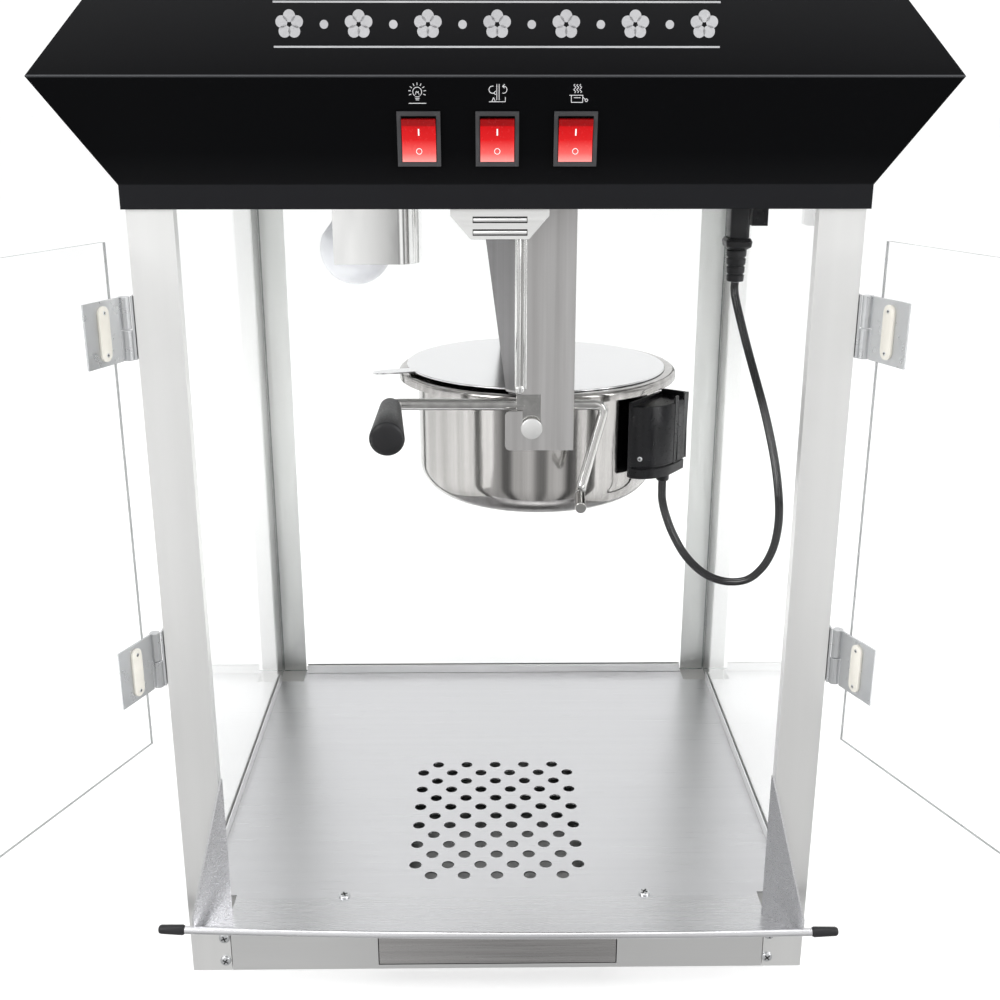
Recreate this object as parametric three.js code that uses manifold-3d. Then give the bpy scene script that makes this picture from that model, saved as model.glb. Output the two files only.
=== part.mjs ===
// A table-top popcorn maker: a glazed cabinet with two front doors, a tilting kettle hung under a black hood,
// a kernel drawer under a perforated deck, and a serving shelf. Millimetres, +Z up, front towards -Y.
// The origin is the middle of the cabinet's underside.
import * as THREE from "three";
import { mergeVertices } from "three/addons/utils/BufferGeometryUtils.js";
import Module from "manifold-3d";

const wasm = await Module();
wasm.setup();

// ---- driving dimensions ----
const WIDTH = 440;
const DEPTH = 410;
const SIDE = WIDTH / 2;
const FRONT = -DEPTH / 2;
const BACK = DEPTH / 2;
const SHEET = 1.2;
const GAP = 0.3;
const POST_LEG = 28;
const POST_RETURN = 9;
const DECK_TOP = 43;
const CEILING = 556;
const POST_TOP = CEILING - 0.5;
const HOOD_BOTTOM = 538;
const LIP_TOP = 552;
const EAVE = 612.4;
const HOOD_TOP = 700;
const KETTLE_X = 33;
const KETTLE_R = 92.7;
const KETTLE_BOTTOM = 304;
const RIM_R = 107.7;
const RIM_BOTTOM = 395.2;
const FLANGE_TOP = 402;
const FLAP_BOTTOM = FLANGE_TOP + 2.4;
const PIN_X = 24.7;
const PIN_Z = 382;
const HANGER_Y = 120;
const FLAP_HINGE_X = 9.5;
const LATCH_PIVOT = { y: -113.6, z: 397 };
const LATCH_R = 3.6;
const DOOR_OPEN = 112;
const DOOR_AXIS_X = 225.3;
const DOOR_AXIS_Y = FRONT - 2.2;
const DOOR_Z = [190, 520];
const HINGE_HEIGHTS = [228, 448];
const HINGE_HEIGHT = 39;
const SWITCH_PITCH = 45.2;
const SWITCH_Z = 578.2;
const ROCKER_REST = 7;

// ---- finishes ----
const steel = { color: 0xc9cacb, roughness: 0.35, metalness: 1 };
const polished = { color: 0xd8d8d8, roughness: 0.12, metalness: 1 };
const zinc = { color: 0xb9bcc0, roughness: 0.4, metalness: 1 };
const powderCoat = { color: 0x0b0c0e, roughness: 0.45, metalness: 0 };
const blackPlastic = { color: 0x141416, roughness: 0.5, metalness: 0 };
const clear = { color: 0xe6efec, roughness: 0.04, metalness: 0 };
const redLens = { color: 0xd01818, roughness: 0.2, metalness: 0 };
const frosted = { color: 0xf2f3f5, roughness: 0.3, metalness: 0 };
const ceramic = { color: 0xe9e6df, roughness: 0.5, metalness: 0 };

const machine = new THREE.Group();

// ---- solids ----
function toSolid(geometry) {
  const bare = geometry.clone();
  bare.deleteAttribute("normal");
  bare.deleteAttribute("uv");
  const merged = mergeVertices(bare, 1e-4);
  const vertProperties = new Float32Array(merged.attributes.position.array);
  const index = Array.from(merged.index.array);
  let triangles = [];
  for (let i = 0; i < index.length; i += 3) {
    const [a, b, c] = index.slice(i, i + 3);
    if (a !== b && b !== c && a !== c) triangles.push([a, b, c]);
  }
  if (signedVolume(vertProperties, triangles) < 0) triangles = triangles.map(([a, b, c]) => [a, c, b]);
  const triVerts = new Uint32Array(triangles.flat());
  return new wasm.Manifold(new wasm.Mesh({ numProp: 3, vertProperties, triVerts }));
}

function signedVolume(xyz, triangles) {
  const at = (i) => new THREE.Vector3(xyz[3 * i], xyz[3 * i + 1], xyz[3 * i + 2]);
  return triangles.reduce((sum, [a, b, c]) => sum + at(a).dot(at(b).cross(at(c))), 0);
}

function toGeometry(solid) {
  const mesh = solid.getMesh();
  const geometry = new THREE.BufferGeometry();
  geometry.setAttribute("position", new THREE.BufferAttribute(new Float32Array(mesh.vertProperties), 3));
  geometry.setIndex(new THREE.BufferAttribute(new Uint32Array(mesh.triVerts), 1));
  return geometry;
}

function add(name, solid, finish) {
  const geometry = toGeometry(solid).toNonIndexed();
  geometry.computeVertexNormals();
  const mesh = new THREE.Mesh(geometry, new THREE.MeshStandardMaterial(finish));
  mesh.name = name;
  machine.add(mesh);
}

const join = (first, ...rest) => rest.reduce((sum, solid) => sum.add(solid), first);
const cut = (first, ...rest) => rest.reduce((sum, solid) => sum.subtract(solid), first);

function box(x0, x1, y0, y1, z0, z1) {
  const geometry = new THREE.BoxGeometry(x1 - x0, y1 - y0, z1 - z0);
  geometry.translate((x0 + x1) / 2, (y0 + y1) / 2, (z0 + z1) / 2);
  return toSolid(geometry);
}

const outline = (points) => new THREE.Shape(points.map(([u, v]) => new THREE.Vector2(u, v)));

function extrude(shape, depth) {
  return new THREE.ExtrudeGeometry(shape, { depth, bevelEnabled: false, curveSegments: 8 });
}

// An outline in X and Y, raised from z0 to z1.
function prismZ(points, z0, z1) {
  const geometry = extrude(outline(points), z1 - z0);
  geometry.translate(0, 0, z0);
  return toSolid(geometry);
}

// An outline in X and Z, carried from y0 to y1.
function prismY(points, y0, y1) {
  const geometry = extrude(outline(points), y1 - y0);
  geometry.rotateX(Math.PI / 2);
  geometry.translate(0, y1, 0);
  return toSolid(geometry);
}

// An outline in Y and Z, carried from x0 to x1.
function prismX(points, x0, x1) {
  const geometry = extrude(outline(points), x1 - x0);
  geometry.applyMatrix4(new THREE.Matrix4().set(0, 0, 1, x0, 1, 0, 0, 0, 0, 1, 0, 0, 0, 0, 0, 1));
  return toSolid(geometry);
}

// A profile of [radius, height] pairs turned about an upright axis.
function turned(profile, x, y, segments = 40) {
  const points = profile.map(([radius, height]) => new THREE.Vector2(radius, height));
  const geometry = new THREE.LatheGeometry(points, segments);
  geometry.rotateX(Math.PI / 2);
  geometry.translate(x, y, 0);
  return toSolid(geometry);
}

function rod(from, to, radius, sides = 16, endRadius = radius) {
  const start = new THREE.Vector3(...from);
  const end = new THREE.Vector3(...to);
  const geometry = new THREE.CylinderGeometry(endRadius, radius, start.distanceTo(end), sides);
  const up = new THREE.Vector3(0, 1, 0);
  geometry.applyQuaternion(new THREE.Quaternion().setFromUnitVectors(up, end.clone().sub(start).normalize()));
  geometry.translate(...start.add(end).multiplyScalar(0.5).toArray());
  return toSolid(geometry);
}

const tubeZ = (x, y, z0, z1, radius, sides = 16) => rod([x, y, z0], [x, y, z1], radius, sides);

// A round rod along straight runs joined by rounded bends.
function bentRod(corners, bend, radius, sides, steps) {
  const path = new THREE.CurvePath();
  const points = corners.map((corner) => new THREE.Vector3(...corner));
  let start = points[0];
  for (let i = 1; i < points.length - 1; i += 1) {
    const before = points[i].clone().add(points[i - 1].clone().sub(points[i]).setLength(bend));
    const after = points[i].clone().add(points[i + 1].clone().sub(points[i]).setLength(bend));
    path.add(new THREE.LineCurve3(start, before));
    path.add(new THREE.QuadraticBezierCurve3(before, points[i], after));
    start = after;
  }
  path.add(new THREE.LineCurve3(start, points.at(-1)));
  return swept(path, radius, sides, steps);
}

function swept(path, radius, sides, steps) {
  const section = new THREE.Shape(
    Array.from({ length: sides }, (_, i) => {
      const turn = (2 * Math.PI * i) / sides;
      return new THREE.Vector2(radius * Math.cos(turn), radius * Math.sin(turn));
    }),
  );
  return toSolid(new THREE.ExtrudeGeometry(section, { steps, bevelEnabled: false, extrudePath: path }));
}

function turnedAbout(solid, axis, degrees, pivot) {
  const turn = THREE.MathUtils.degToRad(degrees);
  const matrix = new THREE.Matrix4()
    .makeTranslation(...pivot)
    .multiply(new THREE.Matrix4().makeRotationAxis(new THREE.Vector3(...axis), turn))
    .multiply(new THREE.Matrix4().makeTranslation(...pivot.map((value) => -value)));
  return toSolid(toGeometry(solid).applyMatrix4(matrix));
}

const mirroredX = (solid) => toSolid(toGeometry(solid).scale(-1, 1, 1));
const mirroredY = (solid) => toSolid(toGeometry(solid).scale(1, -1, 1));

// ---- base, deck and drawer ----
const DRAWER_HALF = 85.5;
const DRAWER_Z = [4, 40];

// The cabinet's plan with its four corners notched for the posts.
function notchedPlan(inset) {
  const x = SIDE - inset;
  const y = BACK - inset;
  const notchX = SIDE - POST_LEG - 0.5 - inset;
  const notchY = BACK - POST_LEG - 0.5 - inset;
  return [
    [-notchX, -y], [notchX, -y], [notchX, -notchY], [x, -notchY], [x, notchY], [notchX, notchY],
    [notchX, y], [-notchX, y], [-notchX, notchY], [-x, notchY], [-x, -notchY], [-notchX, -notchY],
  ];
}

function basePan() {
  const tray = prismZ(notchedPlan(0), 0, DECK_TOP - SHEET - GAP);
  const hollow = prismZ(notchedPlan(SHEET), SHEET, DECK_TOP);
  const doorHalf = DRAWER_HALF + 0.7;
  const doorway = box(-doorHalf, doorHalf, FRONT - 1, FRONT + 5, DRAWER_Z[0] - 0.7, DECK_TOP);
  const runner = box(-DRAWER_HALF - 4, -DRAWER_HALF - 2, FRONT + 10, 100, SHEET - 0.1, 18);
  return join(cut(tray, hollow, doorway), runner, mirroredX(runner));
}

function deckPlate() {
  const HOLES = { rows: 13, acrossOdd: 6, pitch: 24.9, rowPitch: 13.65, radius: 4.75, centreY: -72 };
  let plate = prismZ(notchedPlan(0), DECK_TOP - SHEET, DECK_TOP);
  for (let row = 0; row < HOLES.rows; row += 1) {
    const count = row % 2 ? HOLES.acrossOdd : HOLES.acrossOdd - 1;
    const y = HOLES.centreY + (row - (HOLES.rows - 1) / 2) * HOLES.rowPitch;
    for (let i = 0; i < count; i += 1) {
      const x = (i - (count - 1) / 2) * HOLES.pitch;
      plate = cut(plate, tubeZ(x, y, DECK_TOP - 3, DECK_TOP + 1, HOLES.radius, 8));
    }
  }
  return plate;
}

function drawerTray() {
  const half = DRAWER_HALF - 3;
  const front = FRONT + SHEET + GAP;
  const rear = 90;
  const outer = box(-half, half, front, rear, DRAWER_Z[0], DRAWER_Z[1] - 4);
  const inner = box(-half + SHEET, half - SHEET, front + SHEET, rear - SHEET, DRAWER_Z[0] + SHEET, 50);
  return cut(outer, inner);
}

add("base_pan", basePan(), steel);
add("deck_plate", deckPlate(), steel);
add("drawer_tray", drawerTray(), steel);
add("drawer_front", box(-DRAWER_HALF, DRAWER_HALF, FRONT, FRONT + SHEET, ...DRAWER_Z), steel);

// ---- posts, glass and its channels ----
function frontPost() {
  const x = -SIDE;
  const y = FRONT;
  return prismZ([
    [x, y], [x + POST_LEG, y], [x + POST_LEG, y + POST_RETURN], [x + POST_LEG - SHEET, y + POST_RETURN],
    [x + POST_LEG - SHEET, y + SHEET], [x + SHEET, y + SHEET], [x + SHEET, y + POST_LEG], [x, y + POST_LEG],
  ], 0, POST_TOP);
}

function rearPost() {
  const x = -SIDE;
  const y = BACK;
  return prismZ([
    [x, y], [x, y - POST_LEG], [x + SHEET, y - POST_LEG], [x + SHEET, y - SHEET],
    [x + POST_LEG, y - SHEET], [x + POST_LEG, y],
  ], 0, POST_TOP);
}

// An open-topped channel that stands on the deck and holds the lower edge of a pane.
function channelX(x0, x1, y0, y1) {
  const bottom = DECK_TOP + GAP;
  const top = bottom + 8;
  return cut(box(x0, x1, y0, y1, bottom, top), box(x0 + 1, x1 - 1, y0 - 1, y1 + 1, bottom + 1, top + 1));
}

const GLASS_X = [214.6, 217.6];
const GLASS_Y = [197, 200];
const GLASS_Z = [DECK_TOP + GAP + 1.6, POST_TOP - 0.3];
const sideChannel = channelX(213.2, 219.4, -BACK + POST_LEG + 1, BACK - POST_LEG - 1);
const rearChannel = turnedAbout(channelX(195.4, 201.6, -190, 190), [0, 0, 1], 90, [0, 0, 0]);
const sideGlass = box(...GLASS_X, FRONT + 2, GLASS_Y[1] + 2, ...GLASS_Z);

add("front_post_left", frontPost(), steel);
add("front_post_right", mirroredX(frontPost()), steel);
add("rear_post_left", rearPost(), steel);
add("rear_post_right", mirroredX(rearPost()), steel);
add("glass_channel_left", mirroredX(sideChannel), steel);
add("glass_channel_right", sideChannel, steel);
add("glass_channel_rear", rearChannel, steel);
add("side_glass_left", mirroredX(sideGlass), clear);
add("side_glass_right", sideGlass, clear);
add("rear_glass", box(-GLASS_X[0] + 1, GLASS_X[0] - 1, ...GLASS_Y, ...GLASS_Z), clear);

// ---- hood ----
const HOOD = [
  { z: HOOD_BOTTOM, x: 222.3, front: FRONT - 2.3 },
  { z: LIP_TOP, x: 222.3, front: FRONT - 2.3 },
  { z: EAVE, x: 267, front: FRONT - 11 },
  { z: HOOD_TOP, x: 193, front: FRONT + 5 },
];
const HOOD_BACK = BACK + 2.3;

// Rectangular sections stacked into one closed body.
function lofted(sections) {
  const positions = [];
  for (const { z, x, front, back } of sections) {
    positions.push(-x, front, z, x, front, z, x, back, z, -x, back, z);
  }
  const index = [];
  const quad = (a, b, c, d) => index.push(a, b, c, a, c, d);
  for (let level = 0; level < sections.length - 1; level += 1) {
    for (let side = 0; side < 4; side += 1) {
      const low = 4 * level + side;
      const next = 4 * level + ((side + 1) % 4);
      quad(low, next, next + 4, low + 4);
    }
  }
  const last = 4 * (sections.length - 1);
  quad(3, 2, 1, 0);
  quad(last, last + 1, last + 2, last + 3);
  const geometry = new THREE.BufferGeometry();
  geometry.setAttribute("position", new THREE.BufferAttribute(new Float32Array(positions), 3));
  geometry.setIndex(index);
  return toSolid(geometry);
}

const PANEL_TILT = THREE.MathUtils.radToDeg(Math.atan((HOOD[1].front - HOOD[2].front) / (EAVE - LIP_TOP)));
const SWITCH_Y = HOOD[1].front - Math.tan(THREE.MathUtils.degToRad(PANEL_TILT)) * (SWITCH_Z - LIP_TOP);
const onPanel = (solid, x) => turnedAbout(solid, [1, 0, 0], PANEL_TILT, [x, SWITCH_Y, SWITCH_Z]);
const REAR_OPENING = { x: 110, z: [582, 672] };

function hoodShell() {
  const outer = lofted(HOOD.map((section) => ({ ...section, back: HOOD_BACK })));
  const back = HOOD_BACK - SHEET;
  const inset = ({ z, x, front }, lift) => ({ z: z + lift, x: x - SHEET, front: front + SHEET, back });
  const inner = lofted([inset(HOOD[0], -1), inset(HOOD[1], 0.5), inset(HOOD[2], 0), inset(HOOD[3], -SHEET)]);
  const rear = box(-REAR_OPENING.x, REAR_OPENING.x, BACK - 5, BACK + 5, ...REAR_OPENING.z);
  const windows = [-1, 0, 1].map((side) => {
    const x = side * SWITCH_PITCH;
    return onPanel(box(x - 11.5, x + 11.5, SWITCH_Y - 8, SWITCH_Y + 8, SWITCH_Z - 14.5, SWITCH_Z + 14.5), x);
  });
  return cut(outer, inner, rear, ...windows);
}

function rearPanel() {
  const y = HOOD_BACK + GAP;
  const half = REAR_OPENING.x + 10;
  const [low, high] = REAR_OPENING.z;
  let panel = box(-half, half, y, y + SHEET, low - 8, high + 8);
  for (let slot = 0; slot < 6; slot += 1) {
    const z = 598 + 11 * slot;
    panel = cut(panel, box(-80, 30, y - 1, y + 3, z, z + 4));
  }
  return cut(panel, box(61, 89, y - 1, y + 3, 614, 636));
}

function mainsInlet() {
  const y = HOOD_BACK + GAP + SHEET + GAP;
  const flange = box(50, 100, y, y + 2, 612, 638);
  const body = box(62, 88, y - 20, y + 1, 615, 635);
  const pins = [-7, 0, 7].map((dx) => box(74 + dx, 76 + dx, y - 15, y - 2, 622, 628));
  return join(cut(join(flange, body), box(64, 86, y - 15, y + 3, 617, 633)), ...pins);
}

add("hood_shell", hoodShell(), powderCoat);
add("rear_panel", rearPanel(), powderCoat);
add("mains_inlet", mainsInlet(), blackPlastic);
add("ceiling_plate", cut(box(-219.5, 219.5, -204.5, 204.5, CEILING, CEILING + SHEET),
  tubeZ(KETTLE_X, 0, CEILING - 1, CEILING + 3, 8)), steel);

// ---- switches ----
function switchBezel(x) {
  const front = SWITCH_Y - 2.3;
  const frame = box(x - 12.5, x + 12.5, front, front + 2, SWITCH_Z - 15.4, SWITCH_Z + 15.4);
  const housing = box(x - 11, x + 11, front + 1, front + 22, SWITCH_Z - 14, SWITCH_Z + 14);
  const pocket = box(x - 10.2, x + 10.2, front - 1, front + 14, SWITCH_Z - 13, SWITCH_Z + 13);
  return onPanel(cut(join(frame, housing), pocket), x);
}

function rocker(x) {
  const face = SWITCH_Y - 2.3;
  const profile = [
    [face - 1.8, SWITCH_Z - 12.2], [face + 6, SWITCH_Z - 11], [face + 6, SWITCH_Z + 11],
    [face - 1.8, SWITCH_Z + 12.2], [face - 0.2, SWITCH_Z],
  ];
  const body = prismX(profile, x - 9.8, x + 9.8);
  return onPanel(turnedAbout(body, [1, 0, 0], ROCKER_REST, [x, face + 3, SWITCH_Z]), x);
}

["light", "motor", "heat"].forEach((name, i) => {
  const x = (i - 1) * SWITCH_PITCH;
  add(`switch_bezel_${name}`, switchBezel(x), blackPlastic);
  add(`switch_rocker_${name}`, rocker(x), redLens);
});

// ---- kettle hangers ----
function hanger() {
  const y = -HANGER_Y;
  const plate = [
    [17, CEILING - GAP], [54, CEILING - GAP], [54, 366], [9.2, 366], [7.1, 366.9], [6.2, 369],
    [6.2, 391], [7.1, 393.1], [9.2, 394], [17, 394],
  ];
  const wing = prismZ([[18.5, y - 0.8], [18.5, y + 0.8], [-13, y + 32.3], [-14.2, y + 31.2], [17.8, y - 0.8]],
    406, CEILING - GAP);
  const taper = prismY([[-13, CEILING - GAP], [19, CEILING - GAP], [19, 406], [7, 406]], y - 1, y + 34);
  const flange = box(52.8, 54, y - 0.8, y + 11.5, 366, CEILING - GAP);
  const foot = box(-10, 54, y - 0.8, y + 24, CEILING - GAP - 1.5, CEILING - GAP);
  const slot = join(
    box(5, 31, y - 2, y + 2, 394, 406),
    box(PIN_X - 6.3, PIN_X + 6.3, y - 2, y + 2, PIN_Z, 400),
    rod([PIN_X, y - 2, PIN_Z], [PIN_X, y + 2, PIN_Z], 6.3, 20),
  );
  const { y: latchY, z: latchZ } = LATCH_PIVOT;
  const latchHole = rod([50, latchY, latchZ], [56, latchY, latchZ], LATCH_R + 0.35, 16);
  return cut(join(prismY(plate, y - 0.8, y + 0.8), wing.intersect(taper), flange, foot), slot, latchHole);
}

add("kettle_hanger_front", hanger(), steel);
add("kettle_hanger_rear", mirroredY(hanger()), steel);

// ---- kettle ----
function arc(radius, z, size, from, to, steps) {
  return Array.from({ length: steps + 1 }, (_, i) => {
    const turn = THREE.MathUtils.degToRad(from + ((to - from) * i) / steps);
    return [radius + size * Math.cos(turn), z + size * Math.sin(turn)];
  });
}

function kettleJacket() {
  const fillet = 24;
  const top = FLANGE_TOP - 1.8;
  return turned([
    [0, KETTLE_BOTTOM], ...arc(KETTLE_R - fillet, KETTLE_BOTTOM + fillet, fillet, -90, 0, 6),
    [KETTLE_R, top], [KETTLE_R - 1.2, top],
    ...arc(KETTLE_R - fillet, KETTLE_BOTTOM + fillet, fillet - 1.2, 0, -90, 6), [0, KETTLE_BOTTOM + 1.2],
  ], KETTLE_X, 0);
}

// The bowl's flat flange turns down at its edge, and the lid lies on the flange.
function kettleBowl() {
  const outer = 87.5;
  const under = FLANGE_TOP - 1.5;
  return turned([
    [0, 325], [outer - 10, 325], [outer, 333], [outer, under], [105, under], [RIM_R - 1.2, under - 0.6],
    [RIM_R - 1.2, RIM_BOTTOM], [RIM_R, RIM_BOTTOM], [RIM_R, FLANGE_TOP - 1.6], [RIM_R - 1.6, FLANGE_TOP],
    [outer, FLANGE_TOP], [outer - 1.5, FLANGE_TOP - 1.2], [outer - 1.5, 334], [outer - 11, 326.5], [0, 326.5],
  ], KETTLE_X, 0);
}

function lidFixed() {
  const bottom = FLANGE_TOP + GAP;
  const disc = tubeZ(KETTLE_X, 0, bottom, bottom + SHEET, 99.5, 40);
  const left = box(-100, FLAP_HINGE_X + 0.8, -120, 120, 390, 410);
  const strip = box(FLAP_HINGE_X + 1.1, FLAP_HINGE_X + 7, -45, 45, bottom + 1, FLAP_BOTTOM + 1.3);
  return cut(join(cut(disc, left), strip), tubeZ(KETTLE_X, 0, 390, 410, 5.5));
}

function lidFlap() {
  const top = FLAP_BOTTOM + SHEET;
  const disc = turned([[0, FLAP_BOTTOM], [101.5, FLAP_BOTTOM], [101.5, top], [0, top]], KETTLE_X, 0);
  const right = box(FLAP_HINGE_X - 0.2, 200, -120, 120, 390, 410);
  const bar = box(KETTLE_X + 92, KETTLE_X + 134, -7, 7, FLAP_BOTTOM, top);
  const tab = turnedAbout(bar, [0, 0, 1], 199, [KETTLE_X, 0, 0]);
  return join(cut(disc, right), tab);
}

function pin(sign) {
  const headFront = sign * (HANGER_Y + 0.8 + GAP);
  const head = rod([PIN_X, headFront, PIN_Z], [PIN_X, headFront + sign * 2.6, PIN_Z], 7.4, 24);
  const shank = rod([PIN_X, sign * 96, PIN_Z], [PIN_X, headFront + sign, PIN_Z], 5.8, 20);
  const boss = rod([PIN_X, sign * 93.2, PIN_Z], [PIN_X, sign * 99, PIN_Z], 13, 24);
  return join(head, shank, boss);
}

function dumpHandle() {
  const y = -117.4;
  const plate = prismY([[14, 372], [35, 372], [35, 405.6], [14, 405.6]], y - 1, y + 1);
  const arm = bentRod([[20, -114.4, 397.4], [-74, -114.4, 397.8], [-72.6, -135, 396.6]], 9, 4.1, 12, 24);
  return join(pin(-1), plate, arm);
}

function handleGrip() {
  const rear = [-73, -122.5, 397.5];
  const front = [-71, -187, 391];
  const grip = rod(rear, front, 7.4, 20, 11.8);
  return cut(grip, rod([-73.4, -110, 398.7], [-72.4, -138, 395.9], 4.9, 12));
}

// The box over the heater leads stands off the jacket, turned towards the front.
const BOX_TURN = -35;
const BOX_Z = [331, 391];
const atBox = (solid) => turnedAbout(solid, [0, 0, 1], BOX_TURN, [KETTLE_X, 0, 0]);

// Its plan bulges away from the kettle on one side and is flat, with a notched top edge, on the other.
function terminalBox() {
  const BULGE = { reach: 22, spread: 29, corner: 5, steps: 8 };
  const back = KETTLE_X + 97;
  const face = back + BULGE.reach;
  const bulge = Array.from({ length: BULGE.steps + 1 }, (_, i) => {
    const turn = (Math.PI / 2) * (i / BULGE.steps);
    return [back + BULGE.reach * Math.sin(turn), BULGE.corner - BULGE.spread * Math.cos(turn)];
  });
  const root = back - 2;
  const body = prismZ([...bulge, [face, 26], [root, 26], [root, BULGE.corner - BULGE.spread]], ...BOX_Z);
  const well = box(back + 6, face - 1.5, 8, 24, 380, 392);
  const notch = box(face - 3, face + 1, 11, 20, 381, 392);
  const gland = rod([KETTLE_X + 108.8, 9, BOX_Z[0] - 6.8], [KETTLE_X + 108.8, 9, BOX_Z[0] + 1], 5, 12);
  return atBox(join(cut(body, well, notch), gland));
}

function stirrer() {
  const shaft = tubeZ(KETTLE_X, 0, 329, 501, 4, 12);
  const tongue = box(KETTLE_X - 4, KETTLE_X + 4, -1.5, 1.5, 500, 507.5);
  const bar = box(KETTLE_X - 76, KETTLE_X + 76, -4.5, 4.5, 327.3, 330);
  const arm = turnedAbout(bar, [0, 0, 1], 30, [KETTLE_X, 0, 0]);
  return join(shaft, tongue, arm);
}

add("kettle_jacket", kettleJacket(), polished);
add("kettle_bowl", kettleBowl(), polished);
add("lid_fixed", lidFixed(), polished);
add("lid_flap", lidFlap(), polished);
add("trunnion_rear", pin(1), steel);
add("dump_handle", dumpHandle(), steel);
add("handle_grip", handleGrip(), blackPlastic);
add("terminal_box", terminalBox(), blackPlastic);
add("stirrer", stirrer(), steel);

// ---- latch lever and drive ----
function latchLever() {
  const { y, z } = LATCH_PIVOT;
  const foot = 335.5;
  const corners = [[48, y, z], [76.5, y, z], [59.2, y - 7, foot], [57.8, y - 36, foot - 2]];
  const arm = bentRod(corners, 8, LATCH_R, 12, 36);
  return join(arm, rod([57.8, y - 34, foot - 1.9], [57.7, y - 38.5, foot - 2.1], LATCH_R + 0.3, 16));
}

function driveShaft() {
  const slot = box(KETTLE_X - 15, KETTLE_X + 15, -2.3, 2.3, 502, 509.5);
  const cup = cut(tubeZ(KETTLE_X, 0, 503, 520, 12, 20), slot);
  return join(cup, tubeZ(KETTLE_X, 0, 519, 572, 5, 16));
}

function driveMotor() {
  const gearbox = box(KETTLE_X - 35, KETTLE_X + 35, -35, 35, CEILING + SHEET + GAP, 594);
  return cut(join(gearbox, tubeZ(KETTLE_X, 0, 590, 648, 28, 24)), tubeZ(KETTLE_X, 0, 550, 576, 5.6, 16));
}

add("latch_lever", latchLever(), steel);
add("drive_shaft", driveShaft(), steel);
add("drive_motor", driveMotor(), zinc);

// ---- kettle lead ----
const LEAD_ROUTE = [
  [127.3, -55, 323.8], [127.3, -55, 317], [127.8, -55.6, 308], [130.5, -58, 297],
  [136, -63.5, 283], [145, -72, 268.5], [158, -80, 257.5], [173, -87, 253.5],
  [188, -93, 257], [198.5, -97, 268.5], [204.5, -100, 284],
  [206.6, -102, 301], [206.2, -103, 317], [205, -99, 333], [203.5, -91, 349], [201, -81, 366],
  [197.6, -70, 384], [193.5, -58, 402], [189, -46, 421], [184.6, -36, 440], [181, -27.5, 457],
  [180, -25.2, 464.5], [180, -25, 469.8],
];

function leadPlug() {
  const body = box(172.8, 187.4, -35, -15, 502, 524.6);
  const collar = box(170.2, 189.8, -37, -13, 494, 503);
  const relief = rod([180, -25, 470.3], [180, -25, 495], 6.2, 12, 8);
  return join(body, collar, relief);
}

function leadSocket() {
  const body = box(168, 200, -42, -8, 525, CEILING - GAP);
  const lug = box(188.6, 200, -34, -16, 512, 526);
  return join(body, lug);
}

const leadPath = new THREE.CatmullRomCurve3(LEAD_ROUTE.map((point) => new THREE.Vector3(...point)));
add("kettle_lead", swept(leadPath, 3.2, 8, 50), blackPlastic);
add("lead_plug", leadPlug(), blackPlastic);
add("lead_socket", leadSocket(), blackPlastic);

// ---- lamp ----
const LAMP = { x: -105, y: -5 };

function lampBulb() {
  const globe = arc(0, 493, 27, -75, 20, 7);
  const neck = [[20, 511], [13.2, 521], [13, 530], [13, 542], [9, 545], [0, 545]];
  return turned([[0, 466], ...globe, ...neck], LAMP.x, LAMP.y, 28);
}

function lampHolder() {
  const body = tubeZ(LAMP.x, LAMP.y, 524, CEILING - GAP, 19, 24);
  return cut(body, tubeZ(LAMP.x, LAMP.y, 520, 547, 14, 24));
}

function lampShield() {
  const left = -118;
  const front = -40;
  const bend = 15;
  const right = -56;
  const round = (radius) => arc(right - bend, front + bend, radius, -90, 0, 6);
  const outer = [[left, front], ...round(bend), [right, 22]];
  const inner = [[right - 1, 22], ...round(bend - 1).reverse(), [left, front + 1]];
  const tab = box(left + 10, right - 20, front + 0.5, front + 14, CEILING - GAP - 1.2, CEILING - GAP);
  return join(prismZ([...outer, ...inner], 485, CEILING - GAP), tab);
}

add("lamp_holder", lampHolder(), ceramic);
add("lamp_bulb", lampBulb(), frosted);
add("lamp_shield", lampShield(), polished);

// ---- doors, hinges and catch ----
function doorCatch() {
  const y = FRONT - 0.7;
  const plate = prismY([[-28, 550], [-28, 534], [-16, 520], [19, 520], [31, 534], [31, 550]], y, y + SHEET);
  const magnets = [521.5, 529.5].map((z) => box(-16, 19, y - 1, y + 0.5, z, z + 3));
  return join(plate, ...magnets);
}

// Everything on a door is drawn shut, for the left side, then swung open about the hinge axis.
const doorPivot = [-DOOR_AXIS_X, DOOR_AXIS_Y, 0];
const swungOpen = (solid) => turnedAbout(solid, [0, 0, 1], -DOOR_OPEN, doorPivot);
const BARREL_R = 3.2;

function knuckle(z0, z1) {
  const [x, y] = doorPivot;
  return cut(tubeZ(x, y, z0, z1, BARREL_R, 16), tubeZ(x, y, z0 - 1, z1 + 1, 1.7, 12));
}

function doorLeaf(z) {
  const [x, y] = doorPivot;
  const middle = box(x - 5, x + 4.5, y - 5, y + 5, z + 12.6, z + HINGE_HEIGHT - 12.6);
  const plate = box(x + 2.4, x + 37, y - SHEET, y, z, z + HINGE_HEIGHT);
  const rings = [knuckle(z, z + 12.6), knuckle(z + HINGE_HEIGHT - 12.6, z + HINGE_HEIGHT)];
  return swungOpen(join(cut(plate, middle), ...rings));
}

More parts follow.
